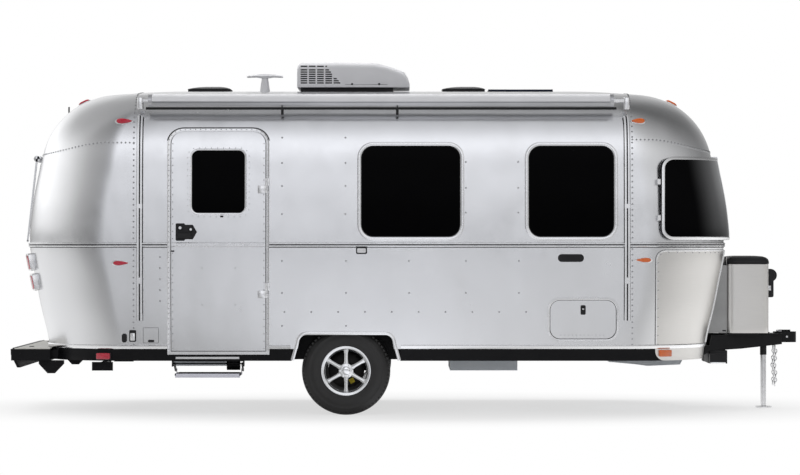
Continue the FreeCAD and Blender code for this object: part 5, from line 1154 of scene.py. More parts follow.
white_moulding = mottled("white_moulding", (5.0, 5.0), (0.66, 0.66, 0.68), (0.78, 0.78, 0.80), (0.2, 0.32),
                         (500.0, 2.0), 0.0002)
panel_line = moulding([framing((-2.198, -2.073, 0.597, 0.722, 0.006), -1)], band(0.0012, 0.0002, 0.0014), closed=True)
add("service_panel_line", panel_line, black_rubber_and_shade, 35, "trailer", "black_plastic")
dark = [pillow(rounded(*shape), profile) for shape, profile in (
    ((-0.453, -0.363, 1.3265, 1.3835, 0.012, 4), ((1.0, 0.0005), (1.0, 0.010), (0.95, 0.013))),
    ((1.201, 1.414, 1.2615, 1.3255, 0.031), ((1.0, 0.0004), (1.0, 0.0035), (0.985, 0.0048))),
    ((-2.373, -2.331, 0.601, 0.675, 0.0205), ((1.0, 0.0004), (1.0, 0.009), (0.86, 0.0115))),
    ((-2.159, -2.107, 0.603, 0.623, 0.0095, 5), ((1.0, 0.0004), (1.0, 0.006), (0.94, 0.0078))))]
add("dark_fittings", merge(*dark), black_moulding_and_shade, 40, "trailer", "black_plastic", "utility_fittings")
for name, profile, shape, material, slot in (
        ("porch_lens", ((1.0, 0.008), (1.0, 0.020), (0.86, 0.0238)), (-0.443, -0.373, 1.336, 1.374, 0.009, 4),
         white_moulding, "white_plastic"),
        ("outlet_plate", ((1.0, 0.0004), (1.0, 0.006), (0.97, 0.0075)), (-2.312, -2.256, 0.607, 0.703, 0.008, 4),
         black_moulding_and_shade, "black_plastic"),
        ("outlet_flap", ((1.0, 0.005), (1.0, 0.0125), (0.92, 0.0138)), (-2.302, -2.266, 0.618, 0.678, 0.004, 3),
         trim_metal, "bright_trim")):
    add(name, pillow(rounded(*shape), profile), material, 40, "trailer", slot)
whip = rod((-2.946, 0.0, 2.45), (-2.946, 0.0, 2.590), 0.0065, 14, 0.002)
add("whip_aerial", whip, black_moulding_and_shade, 40, "trailer", "black_plastic")

# ---------------------------------------------------------------- floor, skirt and frame under the body
# A folded black skirt and pan close the underside. Above them lies a plywood deck, and two welded
# channel rails with cross members carry it; the tongue's two beams run forward to the coupler.


def weathered(name, low, high, rough, metallic=0.0, fine=240.0, depth=0.0006, wear=6.0, gloss=0.2):
    """A finish of mottled paint, plastic or plate, with a fine grain."""
    return mottled(name, (wear, 5.0, None, 0.6), low, high, (0.22, rough), (fine, 3.0), depth,
                   Metallic=metallic, Specular_IOR_Level=gloss)


def dress(material, *names):
    """Give CAD pieces that keep their own shape a finish."""
    for name in names:
        materials = frame["nodes"][name].data.materials
        for slot in range(len(materials)):
            materials[slot] = material
        if not materials:
            materials.append(material)


skirt_paint = weathered("skirt_paint", (0.004, 0.004, 0.005), (0.010, 0.010, 0.011), 0.24, gloss=0.12)
frame_paint = weathered("frame_paint", (0.004, 0.004, 0.005), (0.013, 0.013, 0.014), 0.30, gloss=0.15)
plywood = mottled("plywood", (4.0, 6.0, (1.0, 9.0, 40.0)), (0.28, 0.19, 0.10), (0.56, 0.43, 0.27), (0.2, 0.5),
                  (4.0, 6.0, (1.0, 9.0, 40.0)), 0.0005)
tank_moulding = weathered("tank_moulding", (0.80, 0.86, 0.92), (0.90, 0.94, 0.98), 0.34, fine=90.0, depth=0.0012,
                          gloss=0.5)
dress(skirt_paint, "body_skirt", "belly_pan", "wheel_boxes")
dress(frame_paint, "frame_rails", "cross_members", "tongue_beams", "tongue_plates", "axle_beam", "stabiliser_hangers",
      "stabiliser_right", "stabiliser_left")
dress(plywood, "floor_deck")
dress(black_moulding_and_shade, "battery_box")
dress(tank_moulding, "holding_tanks")

# lid, straps and vents of the battery box
parts = [slab((2.534, -0.336, 0.4700), (2.690, 0.336, 0.4855), 0.003)]
parts += [slab((2.538, y - 0.014, 0.3905), (2.6935, y + 0.014, 0.4865), 0.0015) for y in (-0.20, 0.20)]
parts += [slab((2.6895, y - 0.018, 0.446), (2.6925, y + 0.018, 0.452), 0.001) for y in np.linspace(-0.12, 0.12, 5)]
add("battery_lid", merge(*parts), black_moulding_and_shade, 35, "trailer", "black_plastic")
rails = [slab((2.546, y - 0.0016, 0.3925), (2.676, y + 0.0016, 0.4035), 0.001) for y in (-0.3372, 0.3372)]
add("battery_rail", merge(*rails), trim_metal, 35, "trailer", "bright_trim")

# ---------------------------------------------------------------- wheels and tyres
# Radial road tyres with block tread and ringed side walls, on six-spoked alloy wheels with a machined
# face and dark pockets, bright nuts and a chromed centre cap. The brake drum shows between the spokes.
RIM, RIM_LIP, TYRE, TYRE_WIDE, DRUM = 0.1905, 0.014, 0.365, 0.225, 0.145
AXLE = (-0.537, 1.140, 0.365)


def spin(outline, steps=72, closed=True):
    """Turn an outline of (radius, depth) pairs round the y axis; a point on the axis stays one point."""
    bm = bmesh.new()
    turns = np.arange(steps) * 2 * math.pi / steps
    rings = [[bm.verts.new((radius * math.cos(turn), depth, radius * math.sin(turn)))
              for turn in (turns if radius > 1e-5 else turns[:1])] for radius, depth in outline]
    for low, high in zip(rings, rings[1:] + rings[:int(closed)]):
        for i in range(steps):
            j = (i + 1) % steps
            corners = (low[i % len(low)], low[j % len(low)], high[j % len(high)], high[i % len(high)])
            bm.faces.new(list(dict.fromkeys(corners)))
    bmesh.ops.recalc_face_normals(bm, faces=bm.faces)
    return bm


def roll(bm, turn):
    """Turn a wheel part round the y axis."""
    for vert in bm.verts:
        x, y, z = vert.co
        vert.co = (x * math.cos(turn) - z * math.sin(turn), y, x * math.sin(turn) + z * math.cos(turn))
    return bm


def to_side(bm, side):
    """Stand a wheel part, made with its outer face at zero depth, at its axle end on one side."""
    for vert in bm.verts:
        x, depth, z = vert.co
        vert.co = (AXLE[0] - side * x if side > 0 else AXLE[0] + x, side * (AXLE[1] - depth), AXLE[2] + z)
    bmesh.ops.recalc_face_normals(bm, faces=bm.faces)
    return bm


tyre_rubber = weathered("tyre_rubber", (0.010, 0.010, 0.010), (0.028, 0.027, 0.027), 0.42, gloss=0.45, fine=300.0,
                        wear=9.0)
machined, start = new_finish("machined_alloy")
ring, film = start.noise(3.0, 4.0, (60.0, 2.0, 60.0)), start.noise(18.0, 4.0)
coat(start, start.paint(start.blend(film, (0.70, 0.71, 0.72), (0.90, 0.905, 0.91)), ring * 0.14 + 0.16, ring, 0.0002,
                        Metallic=1.0))
chrome = mottled("chrome", (30.0, 4.0), (0.80, 0.81, 0.82), (0.93, 0.93, 0.94), (0.08, 0.04), Metallic=1.0)
pocket_paint = weathered("pocket_paint", (0.010, 0.010, 0.011), (0.030, 0.030, 0.032), 0.35)
drum_steel = weathered("drum_steel", (0.012, 0.012, 0.013), (0.040, 0.038, 0.036), 0.45, metallic=0.3, fine=60.0,
                       wear=22.0)
label_yellow = weathered("drum_label", (0.55, 0.42, 0.02), (0.75, 0.60, 0.05), 0.45)

TREAD_TREE, given = new_tree("tread_blocks", Blocks="Int", Radius="Float", Block_Size="Vector", Depth_In="Float",
                             Start_Turn="Float", Finish="Material")
count = given["Blocks"]
index = count.node("GeometryNodeInputIndex")
angle = index.math("DIVIDE", index, count) * (2 * math.pi) + given["Start Turn"]
way = count.node("ShaderNodeCombineXYZ", None,
                 {"X": angle.math("COSINE", angle, 0.0), "Z": angle.math("SINE", angle, 0.0)})
spot = count.node("ShaderNodeVectorMath", {"operation": "SCALE"}, {0: way, "Scale": given["Radius"]})
inward = count.node("ShaderNodeCombineXYZ", None, {"Y": given["Depth In"]})
spot = count.node("ShaderNodeVectorMath", {"operation": "ADD"}, {0: spot, 1: inward})
line = count.node("GeometryNodeMeshLine", {"mode": "OFFSET"}, {"Count": count, "Offset": (0, 0, 0)})
placed = count.node("GeometryNodeSetPosition", None, {"Geometry": line, "Position": spot})
facing = count.node("FunctionNodeAxesToRotation", {"primary_axis": "Z", "secondary_axis": "Y"},
                    {"Primary Axis": way, "Secondary Axis": (0, 1, 0)})
repeat_shape(given, placed, count.node("GeometryNodeMeshCube", None, {"Size": given["Block Size"]}), facing)


def circle_of(*values):
    """The faces of a circle of blocks round the y axis, from the values of the tree's inputs."""
    carrier = loose(block((0, 0, 0), (0.001, 0.001, 0.001)))
    mesh = run_tree(TREAD_TREE, carrier, *values)
    bpy.data.objects.remove(carrier)
    bm = bmesh.new()
    bm.from_mesh(mesh)
    bpy.data.meshes.remove(mesh)
    return bm


# tyre: rim seat, then how far above it and how deep each ring of the side wall lies, then its shoulder
wide, lip = TYRE_WIDE, RIM + RIM_LIP
low = lip + 0.002
WALL_STEPS = ((0.0, 0.014), (0.003, 0.0095), (0.008, 0.0075), (0.010, 0.0078), (0.022, 0.0050), (0.024, 0.0035),
              (0.028, 0.0035), (0.030, 0.0028), (0.046, 0.0010), (0.052, 0.0002), (0.072, 0.0002), (0.075, 0.0014),
              (0.098, 0.0034), (0.101, 0.0022), (0.105, 0.0026), (0.108, 0.0046), (0.122, 0.0100), (0.134, 0.0180))
GROOVE, GROOVES = 0.0085, (0.073, 0.0995, 0.1255, 0.152)
wall = [(RIM, 0.014)] + [(low + up, depth) for up, depth in WALL_STEPS]
wall += [(TYRE - 0.016, 0.0280), (TYRE - 0.009, 0.0370), (TYRE - 0.004, 0.0440)]
tread = [(TYRE - (0.0005 if abs(shift) > 0.004 else GROOVE), middle + shift)
         for middle in GROOVES for shift in (-0.0045, -0.003, 0.003, 0.0045)]
carcass = wall + [(TYRE - 0.001, 0.056)] + tread + [(TYRE - 0.001, wide - 0.056)]
carcass += [(radius, wide - depth) for radius, depth in wall[::-1]]
# barrel with a stepped bright lip, its dark lining, hub disc, brake drum and centre cap
barrel = [(lip - 0.001, 0.0122), (lip, 0.0132), (RIM - 0.0006, 0.0136), (RIM - 0.0006, wide - 0.0138),
          (lip, wide - 0.0137), (lip, wide - 0.012), (RIM - 0.010, wide - 0.012), (RIM - 0.010, 0.060),
          (RIM - 0.020, 0.046), (RIM - 0.020, 0.031), (RIM - 0.012, 0.022), (RIM - 0.010, 0.0145),
          (RIM - 0.006, 0.0121)]
hub = [(0.030, 0.034), (0.052, 0.034), (0.060, 0.037), (0.062, 0.044), (0.062, 0.071), (0.0215, 0.071),
       (0.0215, 0.049), (0.030, 0.049)]
lining = [(RIM - 0.0105, 0.062), (RIM - 0.0205, 0.048), (RIM - 0.0215, 0.050), (RIM - 0.0125, 0.064),
          (RIM - 0.0125, wide - 0.013), (RIM - 0.0105, wide - 0.013)]
drum_face = wide - 0.070
drum = [(0.0215, 0.073), (0.048, 0.073), (0.052, drum_face - 0.030), (0.070, drum_face - 0.004),
        (DRUM - 0.012, drum_face), (DRUM, drum_face + 0.008), (DRUM, wide - 0.016), (DRUM, wide - 0.001),
        (DRUM - 0.012, wide - 0.001), (DRUM - 0.012, drum_face + 0.014), (0.0430, drum_face + 0.014),
        (0.0430, wide - 0.009), (0.0215, wide - 0.009)]
centre = [(0.0, 0.0222), (0.020, 0.0225), (0.030, 0.0240), (0.0335, 0.0262), (0.0350, 0.0300), (0.0350, 0.0520),
          (0.0, 0.0520)]
SPOKE = ((0.048, 0.0195), (0.085, 0.0135), (0.140, 0.0135), (RIM - 0.008, 0.021))     # radius, half width
spoke = []
for radius, half in SPOKE:
    front = np.interp(radius, (0.048, 0.11, RIM - 0.008), (0.036, 0.0305, 0.0325))
    spoke.append([(radius, depth, across) for across, depth in (
        (-half, front + 0.026), (-half, front + 0.006), (-half * 0.55, front), (half * 0.55, front),
        (half, front + 0.006), (half, front + 0.026))])
NUT_CIRCLE, LABEL_TURN = 0.0505, math.radians(-62)
for side, label in ((-1, "right"), (1, "left")):
    body, wheel = "road_wheel_" + label, "wheel_" + label
    lugs = [circle_of(64, TYRE - 0.0115, (0.020, 0.020, 0.012), depth, turn, tyre_rubber)
            for depth, turn in ((0.0325, 0.0), (wide - 0.0325, 0.045))]
    spokes = [roll(loft(spoke), math.radians(90 + 60 * number) * -side) for number in range(6)]
    nuts = []
    for turn in [math.radians(60 + 60 * number) * -side for number in range(6)]:
        x, z = NUT_CIRCLE * math.cos(turn), NUT_CIRCLE * math.sin(turn)
        nuts += [rod((x, 0.0340, z), (x, 0.0235, z), 0.0080, 6),
                 rod((x, 0.0235, z), (x, 0.0225, z), 0.0072, 12, 0.0, 0.0050)]
    sticker = roll(block((0.078, drum_face - 0.0050, -0.020), (0.118, drum_face - 0.0040, 0.020)), LABEL_TURN)
    for name, bm, material, smooth, slot, *stands_for in (
            (f"tyre_{label}_carcass", spin(carcass, 96), tyre_rubber, 35, "tyre", "tyre_" + label),
            (f"tyre_{label}_lugs", merge(*lugs), tyre_rubber, 35, "tyre"),
            (wheel + "_alloy", merge(spin(barrel), spin(hub, 48), *spokes), machined, 40, "alloy", wheel),
            (wheel + "_pocket", spin(lining), pocket_paint, 40, "black_steel"),
            (wheel + "_drum", spin(drum, 60), drum_steel, 40, "black_steel"),
            (wheel + "_label", sticker, label_yellow, None, "alloy"),
            (wheel + "_cap", merge(spin(centre, 40, closed=False), *nuts), chrome, 40, "alloy")):
        add(name, to_side(bm, side), material, smooth, body, slot, *stands_for)

# ---------------------------------------------------------------- roof equipment
# An air conditioner under a long white moulded shroud with a louvred intake, two lift-up vents under
# smoked lids, a flat solar panel, and a winged television antenna that turns on its neck.
COOL_REAR, COOL_FRONT, COOL_HALF, COOL_FOOT = -0.968, -0.011, 0.345, 2.742
rows = [(COOL_REAR, COOL_HALF - 0.012, 2.900), (COOL_REAR + 0.006, COOL_HALF - 0.006, 2.928),
        (COOL_REAR + 0.018, COOL_HALF - 0.002, 2.944)]                    # x, half width, height of the top
for share in np.linspace(0, 1, 25)[1:-1]:
    x = COOL_REAR + (COOL_FRONT - COOL_REAR) * share
    top = np.interp(x, (-0.962, -0.950, -0.930, -0.60, -0.30, -0.20, -0.10, -0.045, -0.011),
                    (2.925, 2.942, 2.951, 2.9535, 2.948, 2.926, 2.893, 2.866, 2.790))
    half = COOL_HALF - 0.045 * max(0.0, (share - 0.62) / 0.38) ** 2 - 0.012 * max(0.0, (0.05 - share) / 0.05)
    rows.append((x, half, top))
rows += [(COOL_FRONT - 0.014, COOL_HALF - 0.046, 2.822), (COOL_FRONT, COOL_HALF - 0.055, 2.772)]
sections = []
for x, half, top in rows:
    ease = min(0.050, (top - COOL_FOOT) * 0.5)
    flank = [(half - 0.004, COOL_FOOT), (half, COOL_FOOT + 0.010)]
    flank += [(half - ease + ease * math.cos(turn), top - ease + ease * math.sin(turn))
              for turn in np.linspace(0.0, math.pi / 2, 6)]
    sections.append([(x, -y, z) for y, z in flank] + [(x, y, z) for y, z in flank[::-1]])
# louvres pressed through both flanks and the rear, as slots; behind the flank slots a black sheet is painted shade
# inside the intake
GRILLE_REAR, GRILLE_FOOT, GRILLE_LONG = -0.938, 2.772, 0.340
slots = []
for side in (-1, 1):
    low, high = reach_of(side, 0.318, 0.36)
    for row in range(8):                                 # the grille ends on a slope, and its top row stands apart
        z = GRILLE_FOOT + row * 0.0185 + (0.012 if row == 7 else 0.0)
        for x0 in [GRILLE_REAR + column * 0.0700 for column in range(5)]:
            x1 = min(x0 + 0.0570, GRILLE_REAR + GRILLE_LONG - row * 0.0165)
            if x1 > x0 + 0.012:
                slots.append(block((x0, low, z), (x1, high, z + 0.0115)))
slots += [block((-1.0, y0, z), (-0.938, y0 + 0.16, z + 0.014))
          for z in [2.780 + row * 0.0255 for row in range(5)] for y0 in (-0.26, -0.08, 0.10)]
shroud = cut(loft(sections), ("DIFFERENCE", merge(*slots)))
settle(named(shroud, "cooler_shroud", white_moulding, 32), "trailer", "white_plastic", "air_conditioner_cover")
# the black sheets behind the flank grilles are painted shade inside the intake; small black discs and a strip sit at
# the foot
parts = []
for side in (-1, 1):
    low, high = reach_of(side, 0.3160, 0.3185)
    parts.append(block((GRILLE_REAR - 0.004, low, GRILLE_FOOT - 0.004),
                       (GRILLE_REAR + 0.344, high, GRILLE_FOOT + 0.158)))
    parts += [rod((x, side * 0.3440, 2.768), (x, side * 0.3455, 2.768), 0.009, 16) for x in (-0.50, -0.27)]
    parts.append(slab((-0.56, side * 0.3440, 2.7640), (-0.20, side * 0.3452, 2.7660)))
add("cooler_core", merge(*parts), black_moulding_and_shade, 35, "trailer", "black_plastic")

smoked = weathered("smoked_lid", (0.010, 0.010, 0.011), (0.028, 0.028, 0.030), 0.16, fine=500.0, depth=0.0001)
VENTS, VENT_HALF = ((-1.727, "rear"), (0.452, "front")), 0.186
DOME = ((1.0, 2.7325), (1.0, 2.7350), (0.93, 2.7410), (0.80, 2.7480), (0.60, 2.7550), (0.36, 2.7602), (0.12, 2.7618))
for centre, label in VENTS:
    sections = []
    for share, z in DOME:
        half = VENT_HALF * share
        sections.append([(centre + x + 0.045 * (1 - share), y, z)
                         for x, y in rounded(-half, half, -half, half, 0.045 * share + 0.004, 5)])
    add("vent_dome_" + label, loft(sections), smoked, 40, label + "_vent", "black_plastic", "vent_lid_" + label)
plinth = cut(rod((-1.257, 0, 2.690), (-1.257, 0, 2.836), 0.0485, 40, 0.0, 0.0270), ("DIFFERENCE", hull(SNUG)))
settle(named(plinth, "antenna_plinth", white_moulding, 40), "trailer", "white_plastic", "roof_bases")
curbs = [slab((x - 0.180, -0.180, 2.690), (x + 0.180, 0.180, 2.732), 0.004) for x, label in VENTS]
curbs.append(slab((-0.938, -0.285, 2.690), (-0.151, 0.285, 2.742), 0.004))
curbs = cut(merge(*curbs), ("DIFFERENCE", hull(SNUG)))
settle(named(curbs, "roof_curbs", black_moulding_and_shade), "trailer", "black_plastic")
dress(weathered("solar_cells", (0.006, 0.008, 0.016), (0.014, 0.018, 0.036), 0.10, fine=30.0, depth=0.0),
      "solar_panel")
SUN_REAR, SUN_FRONT, SUN_HALF, SUN_EDGE = 0.660, 1.208, 0.300, 0.012
inner_rear, inner_front, inner_half = SUN_REAR + SUN_EDGE, SUN_FRONT - SUN_EDGE, SUN_HALF - SUN_EDGE
grid = [slab((x0, y0, 2.7225), (x1, y1, 2.7258), 0.001) for x0, x1, y0, y1 in (
    (SUN_REAR, SUN_FRONT, -SUN_HALF, -inner_half), (SUN_REAR, SUN_FRONT, inner_half, SUN_HALF),
    (SUN_REAR, inner_rear, -SUN_HALF, SUN_HALF), (inner_front, SUN_FRONT, -SUN_HALF, SUN_HALF))]
grid += [slab((x - 0.0008, -inner_half, 2.7238), (x + 0.0008, inner_half, 2.7244))
         for x in np.linspace(inner_rear, inner_front, 7)[1:-1]]
grid += [slab((inner_rear, y - 0.0008, 2.7238), (inner_front, y + 0.0008, 2.7244))
         for y in np.linspace(-inner_half, inner_half, 7)[1:-1]]
add("solar_frame", merge(*grid), trim_metal, 35, "trailer", "bright_trim")
NECK = -1.257                                            # the wings' x offsets, foot, top and half width
WINGS = ((-0.155, 2.8440, 2.8570, 0.022), (-0.147, 2.8420, 2.8600, 0.032), (-0.073, 2.8445, 2.8690, 0.037),
         (-0.033, 2.8380, 2.8720, 0.038), (0.0, 2.8366, 2.8735, 0.038))
WINGS += tuple((-shift, *rest) for shift, *rest in WINGS[-2::-1])
sections = [[(NECK + shift, half * across, z) for across, z in (
    (-1, (z0 + z1) / 2), (-0.8, z0), (0.8, z0), (1, (z0 + z1) / 2), (0.7, z1), (-0.7, z1))]
            for shift, z0, z1, half in WINGS]
add("antenna_wings", loft(sections), white_moulding, 45, "antenna", "white_plastic", "antenna_head")

# ---------------------------------------------------------------- awnings
# The side awning is furled on a long tube under a rolled cover of brushed aluminium, held on two arms
# of drawn channel. The arms stand in feet on the wall, with a locking collar and a perforated foot end.
awning_metal, start = new_finish("awning_metal")
draw_lines, cloud = start.noise(3.0, 3.0, (1.0, 160.0, 160.0)), start.noise(3.0, 4.0)
# the roll is made darker than the pale hood over it, as painted shade under the hood
tone = start.blend(cloud, (0.46, 0.465, 0.48), (0.62, 0.62, 0.64))
coat(start, start.paint(tone, draw_lines * 0.12 + 0.26, draw_lines, 0.0003, Metallic=0.85))
AWN_Y, AWN_Z, AWN_R, AWN_REAR, AWN_FRONT = -1.165, 2.587, 0.052, -2.159, 1.662
LAP_TURN = math.radians(238)                             # where the furled cover's edge lies


def tube(x, radius, turns):
    """One section of the awning's tube, or of a shield round it."""
    return np.stack([np.full(len(turns), x), AWN_Y + radius * np.cos(turns), AWN_Z + radius * np.sin(turns)], axis=1)


turns = np.linspace(0, 2 * math.pi, 41)[:-1]
rolled = AWN_R - 0.0035 - 0.004 * ((turns - LAP_TURN) % (2 * math.pi)) / (2 * math.pi)
sections = [tube(AWN_REAR, AWN_R - 0.001, turns), tube(AWN_REAR + 0.03, AWN_R - 0.001, turns)]
sections += [tube(x, rolled, turns) for x in (AWN_REAR + 0.031, *np.linspace(-1.5, 1.3, 8), AWN_FRONT - 0.031)]
sections += [tube(AWN_FRONT - 0.03, AWN_R - 0.001, turns), tube(AWN_FRONT, AWN_R - 0.001, turns)]
rail = slab((AWN_REAR + 0.035, AWN_Y - 0.049, AWN_Z - 0.040), (AWN_FRONT - 0.035, AWN_Y - 0.036, AWN_Z - 0.022), 0.004)
axis_x = REAR_TIP + 0.070
small = rod((axis_x, -0.400, 2.130), (axis_x, 0.400, 2.130), 0.0265, 28, 0.002)
add("awning_rolls", merge(loft(sections), rail, small), awning_metal, 35, "trailer", "awning_metal", "awning_rollers")
over = np.radians(np.linspace(88, 188, 22))              # the shield covers the roll's top and its street side
outer, inner = AWN_R - 0.0002, AWN_R - 0.0030
sections = [np.vstack([tube(x, outer, over), tube(x, inner, over[::-1])])
            for x in np.linspace(AWN_REAR + 0.032, AWN_FRONT - 0.032, 5)]
hood_paint = weathered("awning_hood", (0.70, 0.70, 0.72), (0.80, 0.80, 0.82), 0.28, fine=160.0, depth=0.0002,
                       gloss=0.4)
add("awning_hood", loft(sections), hood_paint, 30, "trailer", "awning_metal")
# a black strip on the wall just under the roll is painted shadow, the shadow gap beneath the roll
SHADE_LINE_Z = 2.527
awning_shade_line = np.array([(x, -float(half_width(SHADE_LINE_Z)), SHADE_LINE_Z)
                      for x in np.linspace(AWN_REAR - 0.03, AWN_FRONT + 0.03, 40)])
add("awning_wall_seal", moulding([awning_shade_line], band(0.009, 0.0002, 0.006)), black_rubber_and_shade, 35, "trailer", "black_plastic")
ARM_IN, ARM_OUT, CHANNEL = 0.013, 0.035, 0.0215
flank = ((CHANNEL, ARM_IN + 0.0005), (CHANNEL, ARM_OUT - 0.003), (0.0185, ARM_OUT - 0.0005),
         (0.0060, ARM_OUT - 0.0005), (0.0045, ARM_OUT - 0.0035))
channel = [(-across, height) for across, height in flank] + list(flank[::-1])
arms, castings, holes, arm_shade_strips = [], [], [], []
for centre, roll_end in ((-2.225, AWN_REAR), (1.768, AWN_FRONT)):
    path = side_path([(centre, 0.782), (centre, 2.520)], -1, 0.06)
    arms.append(moulding([path], channel))
    # black strips beside each arm and one down its middle are painted shade at its edges and in its groove
    arm_shade_strips += [moulding([path], band(0.0262, 0.0003, 0.0090)),
                moulding([path], band(0.0042, ARM_OUT - 0.0036, ARM_OUT - 0.0028))]
    castings += [moulding([side_path([(centre, low), (centre, high)], -1, 0.05)], band(0.0225, ARM_IN, ARM_OUT))
                 for low, high in ((1.085, 1.135), (1.700, 1.735))]
    castings.append(moulding([side_path([(centre, 0.780), (centre, 0.842)], -1, 0.03)], band(0.0225, 0.0005, 0.016)))
    # the perforations of the foot are drawn as black discs, painted shade inside the holes
    for z in np.arange(0.87, 1.07, 0.026):
        spot, normal = (found[0] for found in seat([(centre, -BESIDE, z)]))
        out = spot + normal * (ARM_OUT - 0.0032)
        holes.append(rod(out, out + normal * 0.0008, 0.0035, 12))
    castings += [slab((centre - 0.0220, AWN_Y - 0.0290, AWN_Z - 0.075),
                      (centre + 0.0220, AWN_Y + 0.060, AWN_Z + 0.029), 0.010, 3),
                 rod((centre, AWN_Y, AWN_Z), (roll_end, AWN_Y, AWN_Z), 0.0175, 24),
                 slab((centre - CHANNEL, AWN_Y + 0.030, 2.557), (centre + CHANNEL, AWN_Y + 0.085, 2.617), 0.004)]
foot_x = REAR_TIP - 0.016
rear_arm = [(axis_x - 0.008, 2.130), (axis_x + 0.008, 2.130), (foot_x + 0.0135, 1.437), (foot_x + 0.0005, 1.437)]
for side in (-1, 1):
    low, high = reach_of(side, 0.4002, 0.4138)
    arms.append(prism(rear_arm, low, high))
    castings += [rod((axis_x, low, 2.130), (axis_x, high, 2.130), 0.0268, 24, 0.002),
                 slab((foot_x, low, 1.424), (REAR_TIP + 0.0005, high, 1.446), 0.002),
                 slab((axis_x, low, 2.127), (axis_x + 0.034, high, 2.153), 0.002)]
add("awning_arm_gaskets", merge(*arm_shade_strips), black_rubber_and_shade, 35, "trailer", "black_plastic")
add("awning_channels", merge(*arms), trim_metal, 35, "trailer", "awning_metal", "awning_arms")
add("awning_castings", merge(*castings), trim_metal, 35, "trailer", "bright_trim")
add("awning_arm_holes", merge(*holes), black_moulding_and_shade, None, "trailer", "black_plastic")
hooks = []
for x in (-1.060, -0.115):                               # cradles that steady the furled tube
    y = seat([(x, -BESIDE, 2.482)])[0][0][1]
    hooks += [slab((x - 0.011, y - 0.012, 2.470), (x + 0.011, y - 0.0006, 2.512), 0.003),
              rod((x, y - 0.006, 2.500), (x, AWN_Y - 0.030, AWN_Z - 0.046), 0.005, 12, 0.001)]
add("awning_cradles", merge(*hooks), black_moulding_and_shade, 35, "trailer", "black_plastic")

# ---------------------------------------------------------------- entry step
# A power step under the door: an aluminium tread with a ribbed top and a folded nose on two pairs of
# flat steel links, hung from a bracket with its motor. A light bar sits on the skirt above it.
COPY_TREE, given = new_tree("copies", Shape="Object", Finish="Material")
shape = given["Shape"].node("GeometryNodeObjectInfo", None, {"Object": given["Shape"]}, "Geometry")
turn = shape.node("GeometryNodeInputNamedAttribute", {"data_type": "FLOAT_VECTOR"}, {"Name": "turn"}, "Attribute")
dots = shape.node("GeometryNodeMeshToPoints", {"mode": "VERTICES"}, {"Mesh": given["Geometry"]})
repeat_shape(given, dots, shape, shape.node("FunctionNodeEulerToRotation", None, {"Euler": turn}))


def copies(name, bm, spots, turns, material, body, slot, *stands_for, smooth=40):
    """Repeat one shape at some spots, each turned by its own Euler angles."""
    pattern = new_piece("pattern", bm, material)
    piece = repeated(COPY_TREE, name, spots, "turn", turns, smooth, pattern, material)
    bpy.data.objects.remove(pattern)
    settle(piece, body, slot, *stands_for)


tread_metal = weathered("tread_metal", (0.66, 0.66, 0.74), (0.78, 0.78, 0.86), 0.34, fine=300.0, depth=0.0003,
                        wear=14.0)
dress(frame_paint, "step_bracket", "step_arms_front", "step_arms_rear")
STEP_X, STEP_HALF, STEP_NOSE, STEP_HEEL = -1.671, 0.270, -1.190, -0.911
STEP_PIVOT_Y, STEP_PIVOT_Z, STEP_TOP = -0.987, 0.3632, 0.3472
step_rear, step_front = STEP_X - STEP_HALF, STEP_X + STEP_HALF
parts = [slab((step_rear + 0.0005, STEP_NOSE + 0.0005, STEP_TOP - 0.0200),
              (step_front - 0.0005, STEP_HEEL, STEP_TOP - 0.0025), 0.003),
         slab((step_rear + 0.004, STEP_NOSE + 0.0002, STEP_TOP - 0.0350),
              (step_front - 0.004, STEP_NOSE + 0.006, STEP_TOP - 0.0050), 0.0015)]
parts += [slab((x, STEP_PIVOT_Y - 0.020, STEP_TOP - 0.004), (x + 0.004, STEP_PIVOT_Y + 0.020, STEP_PIVOT_Z + 0.016),
               0.001)
          for x in (step_rear, step_front - 0.004)]
parts += [rod((x, STEP_PIVOT_Y, STEP_PIVOT_Z), (x + 0.014, STEP_PIVOT_Y, STEP_PIVOT_Z), 0.0045, 14)
          for x in (step_rear - 0.014, step_front)]
add("step_board_tread", merge(*parts), tread_metal, 35, "step_board", "lid_sheet", "step_tread")
spots = [(STEP_X, y, STEP_TOP - 0.0018) for y in np.linspace(STEP_NOSE + 0.016, STEP_HEEL - 0.012, 20)]
rib = slab((-STEP_HALF + 0.018, -0.0028, -0.0014), (STEP_HALF - 0.018, 0.0028, 0.0016), 0.0008, 1)
copies("step_ribs", rib, spots, [(0, 0, 0)] * len(spots), black_moulding_and_shade, "step_board", "black_plastic")
ends = [slab((x, STEP_NOSE + 0.0002, STEP_TOP - 0.0200), (x + 0.012, STEP_NOSE + 0.040, STEP_TOP - 0.0020), 0.002)
        for x in (step_rear + 0.0001, step_front - 0.0121)]
add("step_end_caps", merge(*ends), black_moulding_and_shade, 35, "step_board", "black_plastic")
bar = cut(hull(0.012), ("INTERSECT", block((STEP_X - 0.260, -1.5, 0.466), (STEP_X + 0.260, -0.6, 0.483))),
          ("DIFFERENCE", hull(SNUG)))
settle(follow_skin(bar, "step_light_bar", trim_metal), "trailer", "bright_trim")

